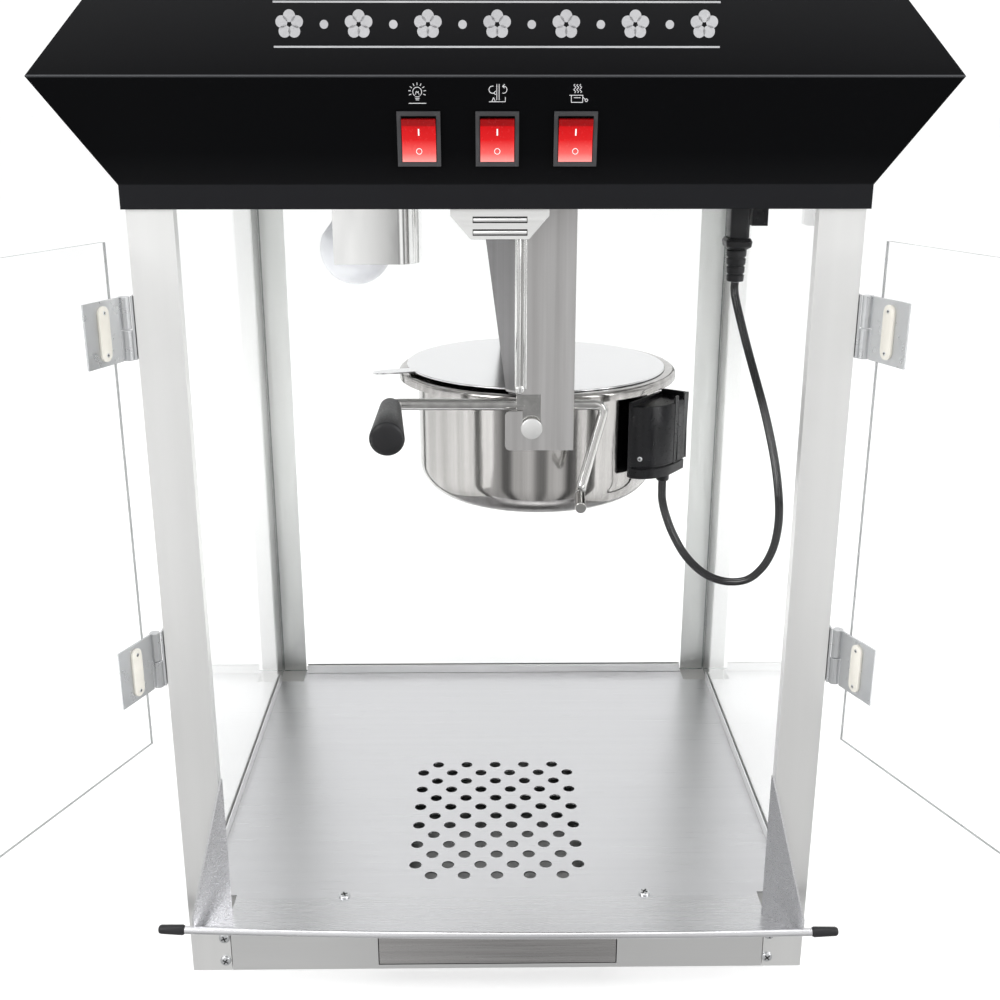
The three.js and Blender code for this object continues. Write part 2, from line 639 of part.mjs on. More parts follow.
function postLeaf(z) {
  const [x, y] = doorPivot;
  const face = -SIDE - GAP;
  const plate = box(face - 1.4, face, y + 0.5, FRONT + 20, z, z + HINGE_HEIGHT);
  const web = box(x + 1.5, face, y + 0.5, y + 2.4, z + 13, z + HINGE_HEIGHT - 13);
  const barrel = tubeZ(x, y, z + 13, z + HINGE_HEIGHT - 13, BARREL_R, 16);
  return join(plate, web, barrel, tubeZ(x, y, z + 0.5, z + HINGE_HEIGHT - 0.5, 1.25, 12));
}

function doorPanel() {
  const [x, y] = doorPivot;
  const corner = 8;
  const [bottom, top] = DOOR_Z;
  const free = -1;
  const shut = [
    [x + 10, bottom], [free - corner, bottom], [free - 2, bottom + 2], [free, bottom + corner],
    [free, top - corner], [free - 2, top - 2], [free - corner, top], [x + 10, top],
  ];
  return swungOpen(prismY(shut, y - SHEET - GAP - 3, y - SHEET - GAP));
}

function doorStrike() {
  const y = DOOR_AXIS_Y;
  return swungOpen(box(-26, -3, y - SHEET, y, DOOR_Z[1] - 18, DOOR_Z[1] + 13));
}

for (const [side, place] of [["left", (solid) => solid], ["right", mirroredX]]) {
  add(`door_panel_${side}`, place(doorPanel()), clear);
  add(`door_strike_${side}`, place(doorStrike()), zinc);
  HINGE_HEIGHTS.forEach((z, i) => {
    const level = ["lower", "upper"][i];
    add(`hinge_door_leaf_${side}_${level}`, place(doorLeaf(z)), zinc);
    add(`hinge_post_leaf_${side}_${level}`, place(postLeaf(z)), zinc);
  });
}
add("door_catch", doorCatch(), zinc);

// ---- serving shelf ----
const HEM = { reach: 219, y: -227, z: 46.3, radius: 2.8 };
const CAP = { start: 219.4, end: 238, radius: 3.7 };

// A plate whose front edge is rolled into a hem, with a bent gusset at each end that rises along the post.
function servingShelf() {
  const z = DECK_TOP + GAP;
  const inner = SIDE - POST_LEG - 1.2;
  const front = HEM.y;
  const rear = FRONT + 22;
  const bendY = FRONT - 0.9;
  const end = 213.5;
  const root = bendY + 4;
  const plate = prismZ([
    [-inner, rear], [-inner, bendY], [-end, front], [end, front], [inner, bendY], [inner, rear],
  ], z, z + SHEET);
  const hem = rod([-HEM.reach, HEM.y, HEM.z], [HEM.reach, HEM.y, HEM.z], HEM.radius, 12);
  const outerFace = [[inner, root], [inner, bendY], [end, front]];
  const innerFace = [[end - SHEET, front], [inner - SHEET, bendY], [inner - SHEET, root]];
  const bent = prismZ([...outerFace, ...innerFace], z, 157);
  const side = prismX([[front, z], [front, 56], [bendY, 155], [root, 155], [root, z]], 180, 220);
  const gusset = bent.intersect(side);
  return join(plate, hem, gusset, mirroredX(gusset));
}

function shelfCap() {
  return rod([CAP.start, HEM.y, HEM.z], [CAP.end, HEM.y, HEM.z], CAP.radius, 14);
}

add("serving_shelf", servingShelf(), steel);
add("shelf_cap_left", mirroredX(shelfCap()), blackPlastic);
add("shelf_cap_right", shelfCap(), blackPlastic);

export default machine;
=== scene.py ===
"""The looks of a table-top popcorn maker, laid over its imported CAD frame.

Lengths are millimetres, or metres where a comment says so.
"""
import math

import bmesh
import bpy
from mathutils import Matrix, Vector


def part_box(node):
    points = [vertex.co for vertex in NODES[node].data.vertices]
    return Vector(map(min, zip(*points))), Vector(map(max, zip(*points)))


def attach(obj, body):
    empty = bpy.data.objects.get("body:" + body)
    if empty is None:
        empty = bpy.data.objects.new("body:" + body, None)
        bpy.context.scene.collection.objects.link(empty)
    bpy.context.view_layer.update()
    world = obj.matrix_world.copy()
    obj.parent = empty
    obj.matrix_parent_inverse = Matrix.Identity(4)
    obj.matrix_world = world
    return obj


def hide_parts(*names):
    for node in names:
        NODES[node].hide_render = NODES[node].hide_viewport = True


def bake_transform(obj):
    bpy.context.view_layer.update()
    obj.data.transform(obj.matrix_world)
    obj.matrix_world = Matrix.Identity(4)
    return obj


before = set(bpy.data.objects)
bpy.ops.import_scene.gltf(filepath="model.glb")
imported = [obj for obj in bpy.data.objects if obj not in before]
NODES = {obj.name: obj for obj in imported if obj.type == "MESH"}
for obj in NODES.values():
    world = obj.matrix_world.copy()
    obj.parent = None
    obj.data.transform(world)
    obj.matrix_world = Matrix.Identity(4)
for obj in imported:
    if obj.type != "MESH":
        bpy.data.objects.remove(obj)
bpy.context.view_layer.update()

MM = 0.001


def new_object(name, data):
    """An object of the scene that shows the data."""
    item = bpy.data.objects.new(name, data)
    bpy.context.collection.objects.link(item)
    return item


# ---- camera ----
CAMERA_PLACE = (-7.4, -957.9, 598.0)
CAMERA_DOWN = 17.78
CAMERA_RIGHT = 0.69
CAMERA_LENS = 44.6
SENSOR_WIDTH = 36


def make_camera():
    data = bpy.data.cameras.new("camera")
    data.lens = CAMERA_LENS
    data.sensor_width = SENSOR_WIDTH
    camera = new_object("camera", data)
    camera.location = Vector(CAMERA_PLACE) * MM
    camera.rotation_euler = (math.radians(90 - CAMERA_DOWN), 0, math.radians(-CAMERA_RIGHT))
    bpy.context.scene.camera = camera


make_camera()


# ---- materials ----
NOISE_LOW = 0.3
NOISE_HIGH = 0.7
EVEN = (1, 1, 1)
ALONG_X = (0.012, 1, 1)
ALONG_Y = (1, 0.012, 1)
ALONG_Z = (1, 1, 0.012)
# The scale and detail of a metal's shading.
SOFT_TONE = (5, 1.0)
FINE_TONE = (60, 3.0)
STREAKS = (160, 4.0)


def colour_ramp(tree, stops):
    """A ramp through rising stops, each a position and a colour."""
    ramp = tree.nodes.new("ShaderNodeValToRGB")
    elements = ramp.color_ramp.elements
    elements[0].position = stops[0][0]
    elements[1].position = stops[-1][0]
    for position, _ in stops[1:-1]:
        elements.new(position)
    for element, (_, colour) in zip(elements, stops):
        element.color = (*colour, 1)
    return ramp


class Tree:
    """Short calls for making and linking the nodes of a node tree."""

    def __init__(self, owner):
        owner.use_nodes = True
        self.tree = owner.node_tree

    def new(self, kind, **values):
        """A shader node whose settings and sockets take the given values."""
        node = self.tree.nodes.new("ShaderNode" + kind)
        for key, value in values.items():
            if hasattr(node, key):
                setattr(node, key, value)
            else:
                node.inputs[key].default_value = value
        return node

    def link(self, source, output, target, socket):
        self.tree.links.new(source.outputs[output], target.inputs[socket])


class Nodes(Tree):
    """A new material's node tree, with the nodes that most materials here use."""

    def __init__(self, name):
        self.material = bpy.data.materials.new(name)
        super().__init__(self.material)
        self.shader = self.tree.nodes["Principled BSDF"]

    def set(self, socket, value):
        self.shader.inputs[socket].default_value = value

    def noise(self, scale, stretch=EVEN, detail=3.0):
        mapping = self.new("Mapping", Scale=stretch)
        noise = self.new("TexNoise", Scale=scale, Detail=detail)
        self.link(self.new("TexCoord"), "Object", mapping, "Vector")
        self.link(mapping, "Vector", noise, "Vector")
        return noise

    def tint(self, noise, dark, light):
        ramp = colour_ramp(self.tree, ((NOISE_LOW, dark), (NOISE_HIGH, light)))
        self.link(noise, "Fac", ramp, "Fac")
        self.link(ramp, "Color", self.shader, "Base Color")

    def roughen(self, noise, low, high):
        ends = {"From Min": NOISE_LOW, "From Max": NOISE_HIGH, "To Min": low, "To Max": high}
        spread = self.new("MapRange", **ends)
        self.link(noise, "Fac", spread, "Value")
        self.link(spread, "Result", self.shader, "Roughness")

    def bump(self, noise, strength, distance):
        node = self.new("Bump", Strength=strength, Distance=distance)
        self.link(noise, "Fac", node, "Height")
        self.link(node, "Normal", self.shader, "Normal")


def metal_nodes(name, dark, light, rough, grain=EVEN, scale=1500, bump=0.04, tone=SOFT_TONE):
    """Sheet metal whose fine grain is drawn out along one direction."""
    nodes = Nodes(name)
    nodes.set("Metallic", 1.0)
    lines = nodes.noise(scale, grain, detail=4.0)
    shades = nodes.noise(tone[0], EVEN if tone == SOFT_TONE else grain, detail=tone[1])
    nodes.tint(shades, dark, light)
    nodes.roughen(lines, *rough)
    nodes.bump(lines, bump, 0.00005)
    return nodes


def metal(*finish, **extra):
    return metal_nodes(*finish, **extra).material


def plastic(name, dark, light, rough, scale=900, bump=0.12, specular=0.5):
    nodes = Nodes(name)
    nodes.set("Specular IOR Level", specular)
    grain = nodes.noise(scale, detail=2.0)
    nodes.tint(nodes.noise(40), dark, light)
    nodes.roughen(grain, *rough)
    nodes.bump(grain, bump, 0.0001)
    return nodes.material


def clear_sheet(name, dark, light, ior):
    nodes = Nodes(name)
    nodes.set("Transmission Weight", 1.0)
    nodes.set("IOR", ior)
    smears = nodes.noise(14, (1, 1, 0.5))
    nodes.tint(smears, dark, light)
    nodes.roughen(smears, 0.0, 0.01)
    return nodes.material


# The slanting web, whose colour takes painted shade, is the hanger's part that is left of and above these, in
# metres.
WEB_RIGHT = 0.015
WEB_BOTTOM = 0.4075
# The colour sockets of a Mix node.
MIX_A = 6
MIX_B = 7
MIX_RESULT = 2


def hanger_metal():
    """Drawn grain up the hanger; its web, which turns away from the light, is darkened with painted shade."""
    nodes = metal_nodes("satin_hanger_steel", (0.5, 0.49, 0.485), (0.66, 0.65, 0.645), (0.28, 0.4),
                        ALONG_Z, tone=STREAKS)
    shade = nodes.shader.inputs["Base Color"].links[0].from_node
    parts = nodes.new("SeparateXYZ")
    nodes.link(nodes.new("TexCoord"), "Object", parts, "Vector")
    web = nodes.new("Math", operation="MULTIPLY")
    edges = (("X", "LESS_THAN", WEB_RIGHT), ("Z", "GREATER_THAN", WEB_BOTTOM))
    for i, (axis, operation, edge) in enumerate(edges):
        mask = nodes.new("Math", operation=operation)
        mask.inputs[1].default_value = edge
        nodes.link(parts, axis, mask, 0)
        nodes.link(mask, 0, web, i)
    # Painted shade: the web's colour is multiplied down because it faces away from the light.
    web_shade = nodes.new("Mix", data_type="RGBA", blend_type="MULTIPLY")
    web_shade.inputs[MIX_B].default_value = (0.46, 0.46, 0.47, 1)
    nodes.link(web, 0, web_shade, 0)
    nodes.link(shade, "Color", web_shade, MIX_A)
    nodes.link(web_shade, MIX_RESULT, nodes.shader, "Base Color")
    return nodes.material


hanger_steel = hanger_metal()
post_steel = metal("satin_post_steel", (0.85, 0.85, 0.84), (0.89, 0.89, 0.88), (0.34, 0.46),
                   ALONG_Z, tone=FINE_TONE)
deck_steel = metal("brushed_deck_steel", (0.67, 0.67, 0.685), (0.69, 0.69, 0.705), (0.27, 0.36),
                   ALONG_X, 1500, 0.02, STREAKS)
shelf_steel = metal("brushed_shelf_steel", (0.65, 0.65, 0.665), (0.665, 0.665, 0.68), (0.26, 0.3),
                    ALONG_X, 1500, 0.01, STREAKS)
pan_steel = metal("brushed_pan_steel", (0.68, 0.68, 0.675), (0.73, 0.73, 0.725), (0.3, 0.42), ALONG_X)
channel_steel = metal("brushed_channel_steel", (0.92,) * 3, (0.95,) * 3, (0.38, 0.5), ALONG_Y)
drawer_steel = metal("brushed_drawer_steel", (0.37, 0.36, 0.355), (0.49, 0.48, 0.475), (0.22, 0.34),
                     ALONG_X, tone=STREAKS)
polished = metal("polished_kettle_steel", (0.345, 0.335, 0.325), (0.475, 0.462, 0.45), (0.08, 0.14),
                 ALONG_Z, 700, 0.03, STREAKS)
lid_steel = metal("polished_lid_steel", (0.74, 0.74, 0.75), (0.78, 0.78, 0.79), (0.14, 0.22),
                  ALONG_X, 500, 0.02)
shield_steel = metal("bright_shield_steel", (0.86, 0.86, 0.85), (0.91, 0.91, 0.9), (0.1, 0.2),
                     (1, 1, 0.4), 60, 0.1)
zinc = metal("zinc_plate", (0.58, 0.59, 0.6), (0.7, 0.71, 0.72), (0.24, 0.4), EVEN, 120, 0.06)
chrome = metal("bright_rod_steel", (0.58, 0.575, 0.56), (0.66, 0.655, 0.64), (0.1, 0.2), EVEN, 200, 0.02)
# Paler than the hanger's steel around it: a painted highlight on the bend.
bead_highlight_steel = metal("bright_bend_steel", (0.72, 0.72, 0.71), (0.8, 0.8, 0.79), (0.16, 0.26), ALONG_Z)
catch_steel = metal("pale_catch_plate", (0.8, 0.8, 0.79), (0.86, 0.86, 0.85), (0.4, 0.55),
                    ALONG_X, 600, 0.05)
powder_coat = plastic("black_powder_coat", (0.0012, 0.0013, 0.0018), (0.0018, 0.0019, 0.0026),
                      (0.36, 0.46), 1500, specular=0.11)
bezel_plastic = plastic("grey_bezel_plastic", (0.026, 0.026, 0.029), (0.036, 0.036, 0.039),
                        (0.4, 0.5), 900, 0.1)
cord_vinyl = plastic("black_cord_vinyl", (0.006, 0.006, 0.007), (0.01, 0.01, 0.011),
                     (0.14, 0.22), 900, 0.05, 0.6)
bakelite = plastic("black_moulded_plastic", (0.004, 0.004, 0.005), (0.008, 0.008, 0.01),
                   (0.26, 0.38), 700, 0.1, 0.3)
soft_black = plastic("black_soft_plastic", (0.008, 0.008, 0.009), (0.016, 0.016, 0.018),
                     (0.34, 0.5), 1100, 0.12, 0.35)
cream = plastic("cream_nylon", (0.62, 0.6, 0.54), (0.72, 0.7, 0.64), (0.4, 0.55), 300, 0.1)
ceramic = plastic("white_ceramic", (0.74, 0.73, 0.7), (0.8, 0.79, 0.76), (0.15, 0.3), 200, 0.05)
print_grey = plastic("light_grey_print", (0.3, 0.3, 0.31), (0.36, 0.36, 0.37), (0.5, 0.65), 1500, 0.1)
icon_print = plastic("pale_icon_print", (0.6, 0.6, 0.62), (0.7, 0.7, 0.72), (0.5, 0.65), 1500, 0.1)
white_mark = plastic("white_mark", (0.78, 0.76, 0.76), (0.9, 0.88, 0.88), (0.4, 0.5), 600, 0.05)
# Black for the shade inside recesses and slots: painted shade.
painted_shade_black = plastic("painted_recess_shade", (0.004,) * 3, (0.01,) * 3, (0.6, 0.8), 500, 0.1)
glass = clear_sheet("clear_glass", (0.985, 0.995, 0.99), (0.995, 1.0, 0.998), 1.25)
acrylic = clear_sheet("clear_acrylic", (0.99, 0.995, 0.995), (1.0, 1.0, 1.0), 1.25)
glass_edge = plastic("green_glass_edge", (0.05, 0.085, 0.075), (0.09, 0.13, 0.12), (0.2, 0.35), 80, 0.0)
acrylic_edge = plastic("grey_acrylic_edge", (0.36, 0.37, 0.375), (0.48, 0.49, 0.495),
                       (0.25, 0.4), 60, 0.0)


def colour_by_height(nodes, stops):
    """Base colours up a piece, from its lowest point at 0 to its highest at 1."""
    parts = nodes.new("SeparateXYZ")
    ramp = colour_ramp(nodes.tree, stops)
    nodes.link(nodes.new("TexCoord"), "Generated", parts, "Vector")
    nodes.link(parts, "Z", ramp, "Fac")
    nodes.link(ramp, "Color", nodes.shader, "Base Color")


def red_lens():
    """Red plastic with a painted highlight that pales it towards its foot and painted shade that darkens its
    top edge.
    """
    nodes = Nodes("red_rocker_lens")
    nodes.set("Coat Weight", 0.08)
    nodes.set("Specular IOR Level", 0.16)
    # The pale stops at the foot are a painted highlight; the dark stops over the top edge are painted shade.
    stops = ((0.0, (0.78, 0.26, 0.24)), (0.2, (0.66, 0.09, 0.085)), (0.5, (0.54, 0.006, 0.008)),
             (0.8, (0.47, 0.0, 0.002)), (0.83, (0.25, 0.0, 0.001)), (1.0, (0.22, 0.0, 0.001)))
    colour_by_height(nodes, stops)
    nodes.roughen(nodes.noise(500), 0.18, 0.3)
    return nodes.material


def hood_paint():
    """Black powder coat with painted sheen on the lip and the foot of the lower panel, a painted reflection
    that brightens the upper panel towards the top, and a pale painted highlight along the eave's fold.
    """
    nodes = Nodes("black_hood_coat")
    # The lip colour, the faint colour past the lip and the fold, and the colour above are painted sheen and
    # reflection; the pale colour at the fold is a painted highlight.
    black = (0.0006, 0.0007, 0.0011)
    lip = (0.01, 0.0102, 0.0115)
    faint_sheen = (0.003, 0.0031, 0.0036)
    above = (0.016, 0.0162, 0.0172)
    fold_highlight = (0.075, 0.077, 0.082)
    fold = 0.4597
    lip_fold = 0.0864
    stops = ((0.0, lip), (lip_fold, lip), (lip_fold + 0.004, faint_sheen), (0.2, black), (fold - 0.0035, black),
             (fold - 0.0012, fold_highlight), (fold + 0.0012, fold_highlight), (fold + 0.0035, faint_sheen), (1.0, above))
    nodes.set("Specular IOR Level", 0.06)
    colour_by_height(nodes, stops)
    grain = nodes.noise(1500)
    nodes.roughen(grain, 0.36, 0.46)
    nodes.bump(grain, 0.12, 0.0001)
    return nodes.material


def frosted_glass():
    nodes = Nodes("frosted_bulb_glass")
    nodes.set("Subsurface Weight", 0.25)
    nodes.set("Subsurface Radius", (0.01, 0.01, 0.01))
    nodes.set("Coat Weight", 0.25)
    nodes.set("Emission Color", (0.9, 0.92, 1.0, 1))
    nodes.set("Emission Strength", 0.12)
    nodes.tint(nodes.noise(30), (0.8, 0.81, 0.84), (0.9, 0.91, 0.93))
    nodes.roughen(nodes.noise(300), 0.28, 0.4)
    return nodes.material


red = red_lens()
hood_black = hood_paint()
frosted = frosted_glass()


# ---- mesh building ----
def piece(name, bm, material, body, smooth=30.0, bevel=0.0):
    """A finished mesh as a named piece that rides on a body. Edges sharper than smooth degrees stay crisp."""
    bmesh.ops.remove_doubles(bm, verts=bm.verts, dist=1e-7)
    bmesh.ops.recalc_face_normals(bm, faces=bm.faces)
    mesh = bpy.data.meshes.new(name)
    bm.to_mesh(mesh)
    bm.free()
    item = new_object(name, mesh)
    mesh.materials.append(material)
    mesh.shade_smooth()
    mesh.set_sharp_from_angle(angle=math.radians(smooth))
    if bevel:
        soften(item, bevel)
    if body:
        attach(item, body)
    return item


def soften(item, width, segments=2):
    """Rounds an object's sharp edges, so that they catch the light."""
    bevel = item.modifiers.new("edge_round", "BEVEL")
    bevel.width = width * MM
    bevel.segments = segments
    bevel.limit_method = "ANGLE"
    bevel.angle_limit = math.radians(35)
    bevel.harden_normals = True
    bevel.use_clamp_overlap = True


def add_skin(bm, loops):
    """Faces between neighbouring loops of vertices. A loop of one vertex closes the skin to a point."""
    sides = max(len(loop) for loop in loops)
    for low, high in zip(loops, loops[1:]):
        for i in range(sides):
            ends = ((low, i), (low, i + 1), (high, i + 1), (high, i))
            corners = [loop[k % len(loop)] for loop, k in ends]
            bm.faces.new(list(dict.fromkeys(corners)))


def ring_faces(bm, rings):
    """Joins rings of points into a skin and caps its two ends."""
    loops = [[bm.verts.new(Vector(point) * MM) for point in ring] for ring in rings]
    add_skin(bm, loops)
    bm.faces.new(list(reversed(loops[0])))
    bm.faces.new(loops[-1])


def circle(radius, sides):
    turns = [2 * math.pi * i / sides for i in range(sides)]
    return [(radius * math.cos(turn), radius * math.sin(turn)) for turn in turns]


def add_turned(bm, profile, centre, sides):
    """A profile of (radius, height) turned about an upright axis. Points on the axis close it."""
    loops = []
    for radius, height in profile:
        plan = circle(radius, sides) if radius else [(0, 0)]
        places = [Vector((centre[0] + u, centre[1] + v, height)) for u, v in plan]
        loops.append([bm.verts.new(place * MM) for place in places])
    add_skin(bm, loops)


def arc(x, y, radius, start, end, steps=10):
    turns = [math.radians(start + (end - start) * i / steps) for i in range(steps + 1)]
    return [(x + radius * math.cos(turn), y + radius * math.sin(turn)) for turn in turns]


def add_box(bm, low, high, matrix=Matrix()):
    """A box from its lowest to its highest corner."""
    low, high = Vector(low) * MM, Vector(high) * MM
    size = Matrix.Diagonal((*(high - low), 1))
    place = matrix @ Matrix.Translation((low + high) / 2) @ size
    bmesh.ops.create_cube(bm, size=1.0, matrix=place)


def smooth_path(points, per_span):
    """A Catmull-Rom curve through the points."""
    route = [Vector(point) for point in points]
    route = [2 * route[0] - route[1], *route, 2 * route[-1] - route[-2]]
    made = []
    for i in range(1, len(route) - 2):
        a, b, c, d = route[i - 1 : i + 3]
        bend = 2 * a - 5 * b + 4 * c - d
        twist = 3 * b - a - 3 * c + d
        for step in range(per_span):
            t = step / per_span
            made.append(0.5 * (2 * b + (c - a) * t + bend * t**2 + twist * t**3))
    made.append(route[-2])
    return made


def rounded_path(corners, bend, steps=8):
    """Straight runs joined by rounded bends."""
    points = [Vector(corner) for corner in corners]
    made = [points[0]]
    for before, corner, after in zip(points, points[1:], points[2:]):
        start = corner + (before - corner).normalized() * bend
        end = corner + (after - corner).normalized() * bend
        for i in range(steps + 1):
            t = i / steps
            made.append((1 - t) ** 2 * start + 2 * t * (1 - t) * corner + t**2 * end)
    made.append(points[-1])
    return made


def add_swept(bm, path, section, facing=(0, -1, 0), scales=None):
    """A section carried along a path. The section's second direction leans towards facing."""
    rings = []
    for i, point in enumerate(path):
        ahead = (path[min(i + 1, len(path) - 1)] - path[max(i - 1, 0)]).normalized()
        front = Vector(facing)
        front = front - ahead * front.dot(ahead)
        if front.length < 0.2:
            front = Vector((0, 0, 1)) - ahead * ahead.z
        front.normalize()
        side = ahead.cross(front)
        scale = scales[i] if scales else 1.0
        rings.append([point + side * (u * scale) + front * (v * scale) for u, v in section])
    ring_faces(bm, rings)


def frame_along(place, normal):
    """A matrix in metres whose Z looks along normal, for small parts that sit on a face."""
    z = Vector(normal).normalized()
    x = Vector((0, 0, 1)).cross(z)
    if x.length < 0.1:
        x = Vector((1, 0, 0))
    x.normalize()
    y = z.cross(x)
    matrix = Matrix((x, y, z)).transposed().to_4x4()
    matrix.translation = Vector(place) * MM
    return matrix


# ---- fasteners ----
def add_screw(heads, crosses, place, normal, radius, turn):
    """A pan head standing on a face, and dark boxes in its cross that paint the recess's shade."""
    matrix = frame_along(place, normal) @ Matrix.Rotation(math.radians(turn), 4, "Z")
    height = 0.5 * radius
    before = len(heads.verts)
    profile = [(0, 0), (radius, 0), (radius, 0.3 * height), (0.93 * radius, 0.7 * height),
               (0.75 * radius, 0.93 * height), (0.4 * radius, height), (0, height)]
    add_turned(heads, profile, (0, 0), 32)
    heads.verts.ensure_lookup_table()
    bmesh.ops.transform(heads, matrix=matrix, verts=heads.verts[before:])
    arm = 0.58 * radius
    half = 0.12 * radius
    # The cross is dark boxes in the head: painted shade in the recess.
    for reach, width in ((arm, half), (half, arm)):
        add_box(crosses, (-reach, -width, 0.5 * height), (reach, width, 1.04 * height), matrix)


def screw_pieces(name, heads, crosses, body):
    piece(name, heads, zinc, body, smooth=40)
    piece(name + "_cross_shade", crosses, painted_shade_black, body, smooth=25)


def screws(name, places, normal, radius, body="cabinet"):
    heads = bmesh.new()
    crosses = bmesh.new()
    for i, place in enumerate(places):
        add_screw(heads, crosses, place, normal, radius, turn=20 + 37 * i)
    screw_pieces(name, heads, crosses, body)


# ---- the kettle lead, end to end as it hangs ----
LEAD_ROUTE = [
    (127.3, -55, 323.8), (127.3, -55, 317), (127.8, -55.6, 308), (130.5, -58, 297), (136, -63.5, 283),
    (145, -72, 268.5), (158, -80, 257.5), (173, -87, 253.5), (188, -93, 257), (198.5, -97, 268.5),
    (204.5, -100, 284), (206.6, -102, 301), (206.2, -103, 317), (205, -99, 333), (203.5, -91, 349),
    (201, -81, 366), (197.6, -70, 384), (193.5, -58, 402), (189, -46, 421), (184.6, -36, 440),
    (181, -27.5, 457), (180, -25.2, 464.5), (180, -25, 469.8),
]
LEAD_WIDTH = 6.2
LEAD_THICKNESS = 3.6


def ribbed_section():
    """The outline of a flat cord with three cores."""
    points = []
    for u, v in circle(1.0, 36):
        rib = 0.7 + 0.3 * abs(math.cos(1.5 * math.pi * u))
        points.append((LEAD_WIDTH / 2 * u, LEAD_THICKNESS / 2 * v * rib))
    return points


def kettle_lead():
    path = smooth_path(LEAD_ROUTE, 5)
    bm = bmesh.new()
    add_swept(bm, path, ribbed_section())
    lead = piece("kettle_lead_cord", bm, cord_vinyl, None, smooth=60)
    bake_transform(lead)
    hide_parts("kettle_lead")
    plug = plug_body()
    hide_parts("lead_plug")


# ---- CAD nodes that keep their shape ----
SWITCHES = ("light", "motor", "heat")
# Each material with the width of its rounded edges and the nodes that take it.
CARRIED = {
    post_steel: (0.35, ["front_post_left", "front_post_right", "rear_post_left", "rear_post_right"]),
    hanger_steel: (0.7, ["kettle_hanger_front", "kettle_hanger_rear"]),
    pan_steel: (0.3, ["base_pan", "ceiling_plate", "drawer_tray"]),
    channel_steel: (0.2, ["glass_channel_left", "glass_channel_right", "glass_channel_rear"]),
    drawer_steel: (0.3, ["drawer_front"]),
    chrome: (0.3, ["trunnion_rear", "drive_shaft", "stirrer"]),
    zinc: (0.25, ["door_strike_left", "door_strike_right", "drive_motor"]),
    hood_black: (0.9, ["hood_shell"]),
    powder_coat: (0.4, ["rear_panel"]),
    bakelite: (0.6, ["mains_inlet", "lead_socket"]),
    bezel_plastic: (0.6, [f"switch_bezel_{name}" for name in SWITCHES]),
    red: (0.7, [f"switch_rocker_{name}" for name in SWITCHES]),
    ceramic: (0.5, ["lamp_holder"]),
}


def paint_node(name, material, bevel):
    node = NODES[name]
    if not node.data.materials:
        node.data.materials.append(material)
    for place in node.material_slots:
        place.material = material
    if bevel:
        soften(node, bevel, segments=3 if bevel > 0.6 else 2)


for finish, (bevel, names) in CARRIED.items():
    for node_name in names:
        paint_node(node_name, finish, bevel)


# ---- panes and door panels ----
def edged_sheet(node_name, body, face_material, edge_material):
    """A clear sheet whose cut edges look darker than its faces."""
    node = NODES[node_name]
    bm = bmesh.new()
    bm.from_mesh(node.data)
    bmesh.ops.transform(bm, matrix=node.matrix_world, verts=bm.verts)
    bm.normal_update()
    broad = max(bm.faces, key=lambda face: face.calc_area()).normal.copy()
    for face in bm.faces:
        face.material_index = 0 if abs(face.normal.dot(broad)) > 0.9 else 1
    item = piece(node_name + "_sheet", bm, face_material, body)
    item.data.materials.append(edge_material)
    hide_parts(node_name)


for pane in ("side_glass_left", "side_glass_right", "rear_glass"):
    edged_sheet(pane, "cabinet", glass, glass_edge)
for hand in ("left", "right"):
    edged_sheet(f"door_panel_{hand}", f"{hand}_door", acrylic, acrylic_edge)


# ---- deck with its round holes ----
DECK_NOTCH = 28.5
HOLE_R = 4.75
HOLE_ROWS = 13
HOLE_SPACING = 24.9
ROW_SPACING = 13.65
HOLES_MIDDLE_Y = -72


def deck():
    low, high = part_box("deck_plate")
    half_x = high[0] / MM
    half_y = high[1] / MM
    near_x = half_x - DECK_NOTCH
    near_y = half_y - DECK_NOTCH
    outline = []
    for side_x, side_y in ((1, -1), (1, 1), (-1, 1), (-1, -1)):
        notch = [(near_x, half_y), (near_x, near_y), (half_x, near_y)]
        corner = [(side_x * x, side_y * y) for x, y in notch]
        outline += corner if side_x * side_y < 0 else reversed(corner)
    loops = [outline]
    for row in range(HOLE_ROWS):
        count = 6 if row % 2 else 5
        for i in range(count):
            x = (i - (count - 1) / 2) * HOLE_SPACING
            y = HOLES_MIDDLE_Y + (row - (HOLE_ROWS - 1) / 2) * ROW_SPACING
            loops.append([(x + u, y + v) for u, v in circle(HOLE_R, 32)])
    bm = filled_plate(loops, low[2] / MM, high[2] / MM)
    plate = piece("deck_sheet", bm, deck_steel, "cabinet")
    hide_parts("deck_plate")


def filled_plate(loops, bottom, top):
    """A flat plate between two heights whose first loop is its edge and whose other loops are holes."""
    data = bpy.data.curves.new("plate_outline", "CURVE")
    data.dimensions = "2D"
    data.fill_mode = "BOTH"
    data.extrude = (top - bottom) / 2 * MM
    for loop in loops:
        spline = data.splines.new("POLY")
        spline.points.add(len(loop) - 1)
        for point, (x, y) in zip(spline.points, loop):
            point.co = (x * MM, y * MM, 0, 1)
        spline.use_cyclic_u = True
    holder = new_object("plate_holder", data)
    bpy.context.view_layer.update()
    mesh = bpy.data.meshes.new_from_object(holder.evaluated_get(bpy.context.evaluated_depsgraph_get()))
    bm = bmesh.new()
    bm.from_mesh(mesh)
    bmesh.ops.translate(bm, verts=bm.verts, vec=(0, 0, (top + bottom) / 2 * MM))
    bpy.data.objects.remove(holder)
    bpy.data.meshes.remove(mesh)
    return bm


deck()

# ---- kettle ----
KETTLE = (33.0, 0.0)
KETTLE_SIDES = 160
SHEET = 1.2
JACKET_R = 92.7
JACKET_BOTTOM = 304.0
JACKET_TOP = 400.1
JACKET_BEND = 24.0
BOWL_R = 87.5
BOWL_BOTTOM = 325.0
BOWL_BEND = 8.0
BOWL_SHEET = 1.5
LIP_BEND = 3.0
RIM_R = 107.7
RIM_FOOT = 395.3
FLANGE_TOP = 402.0


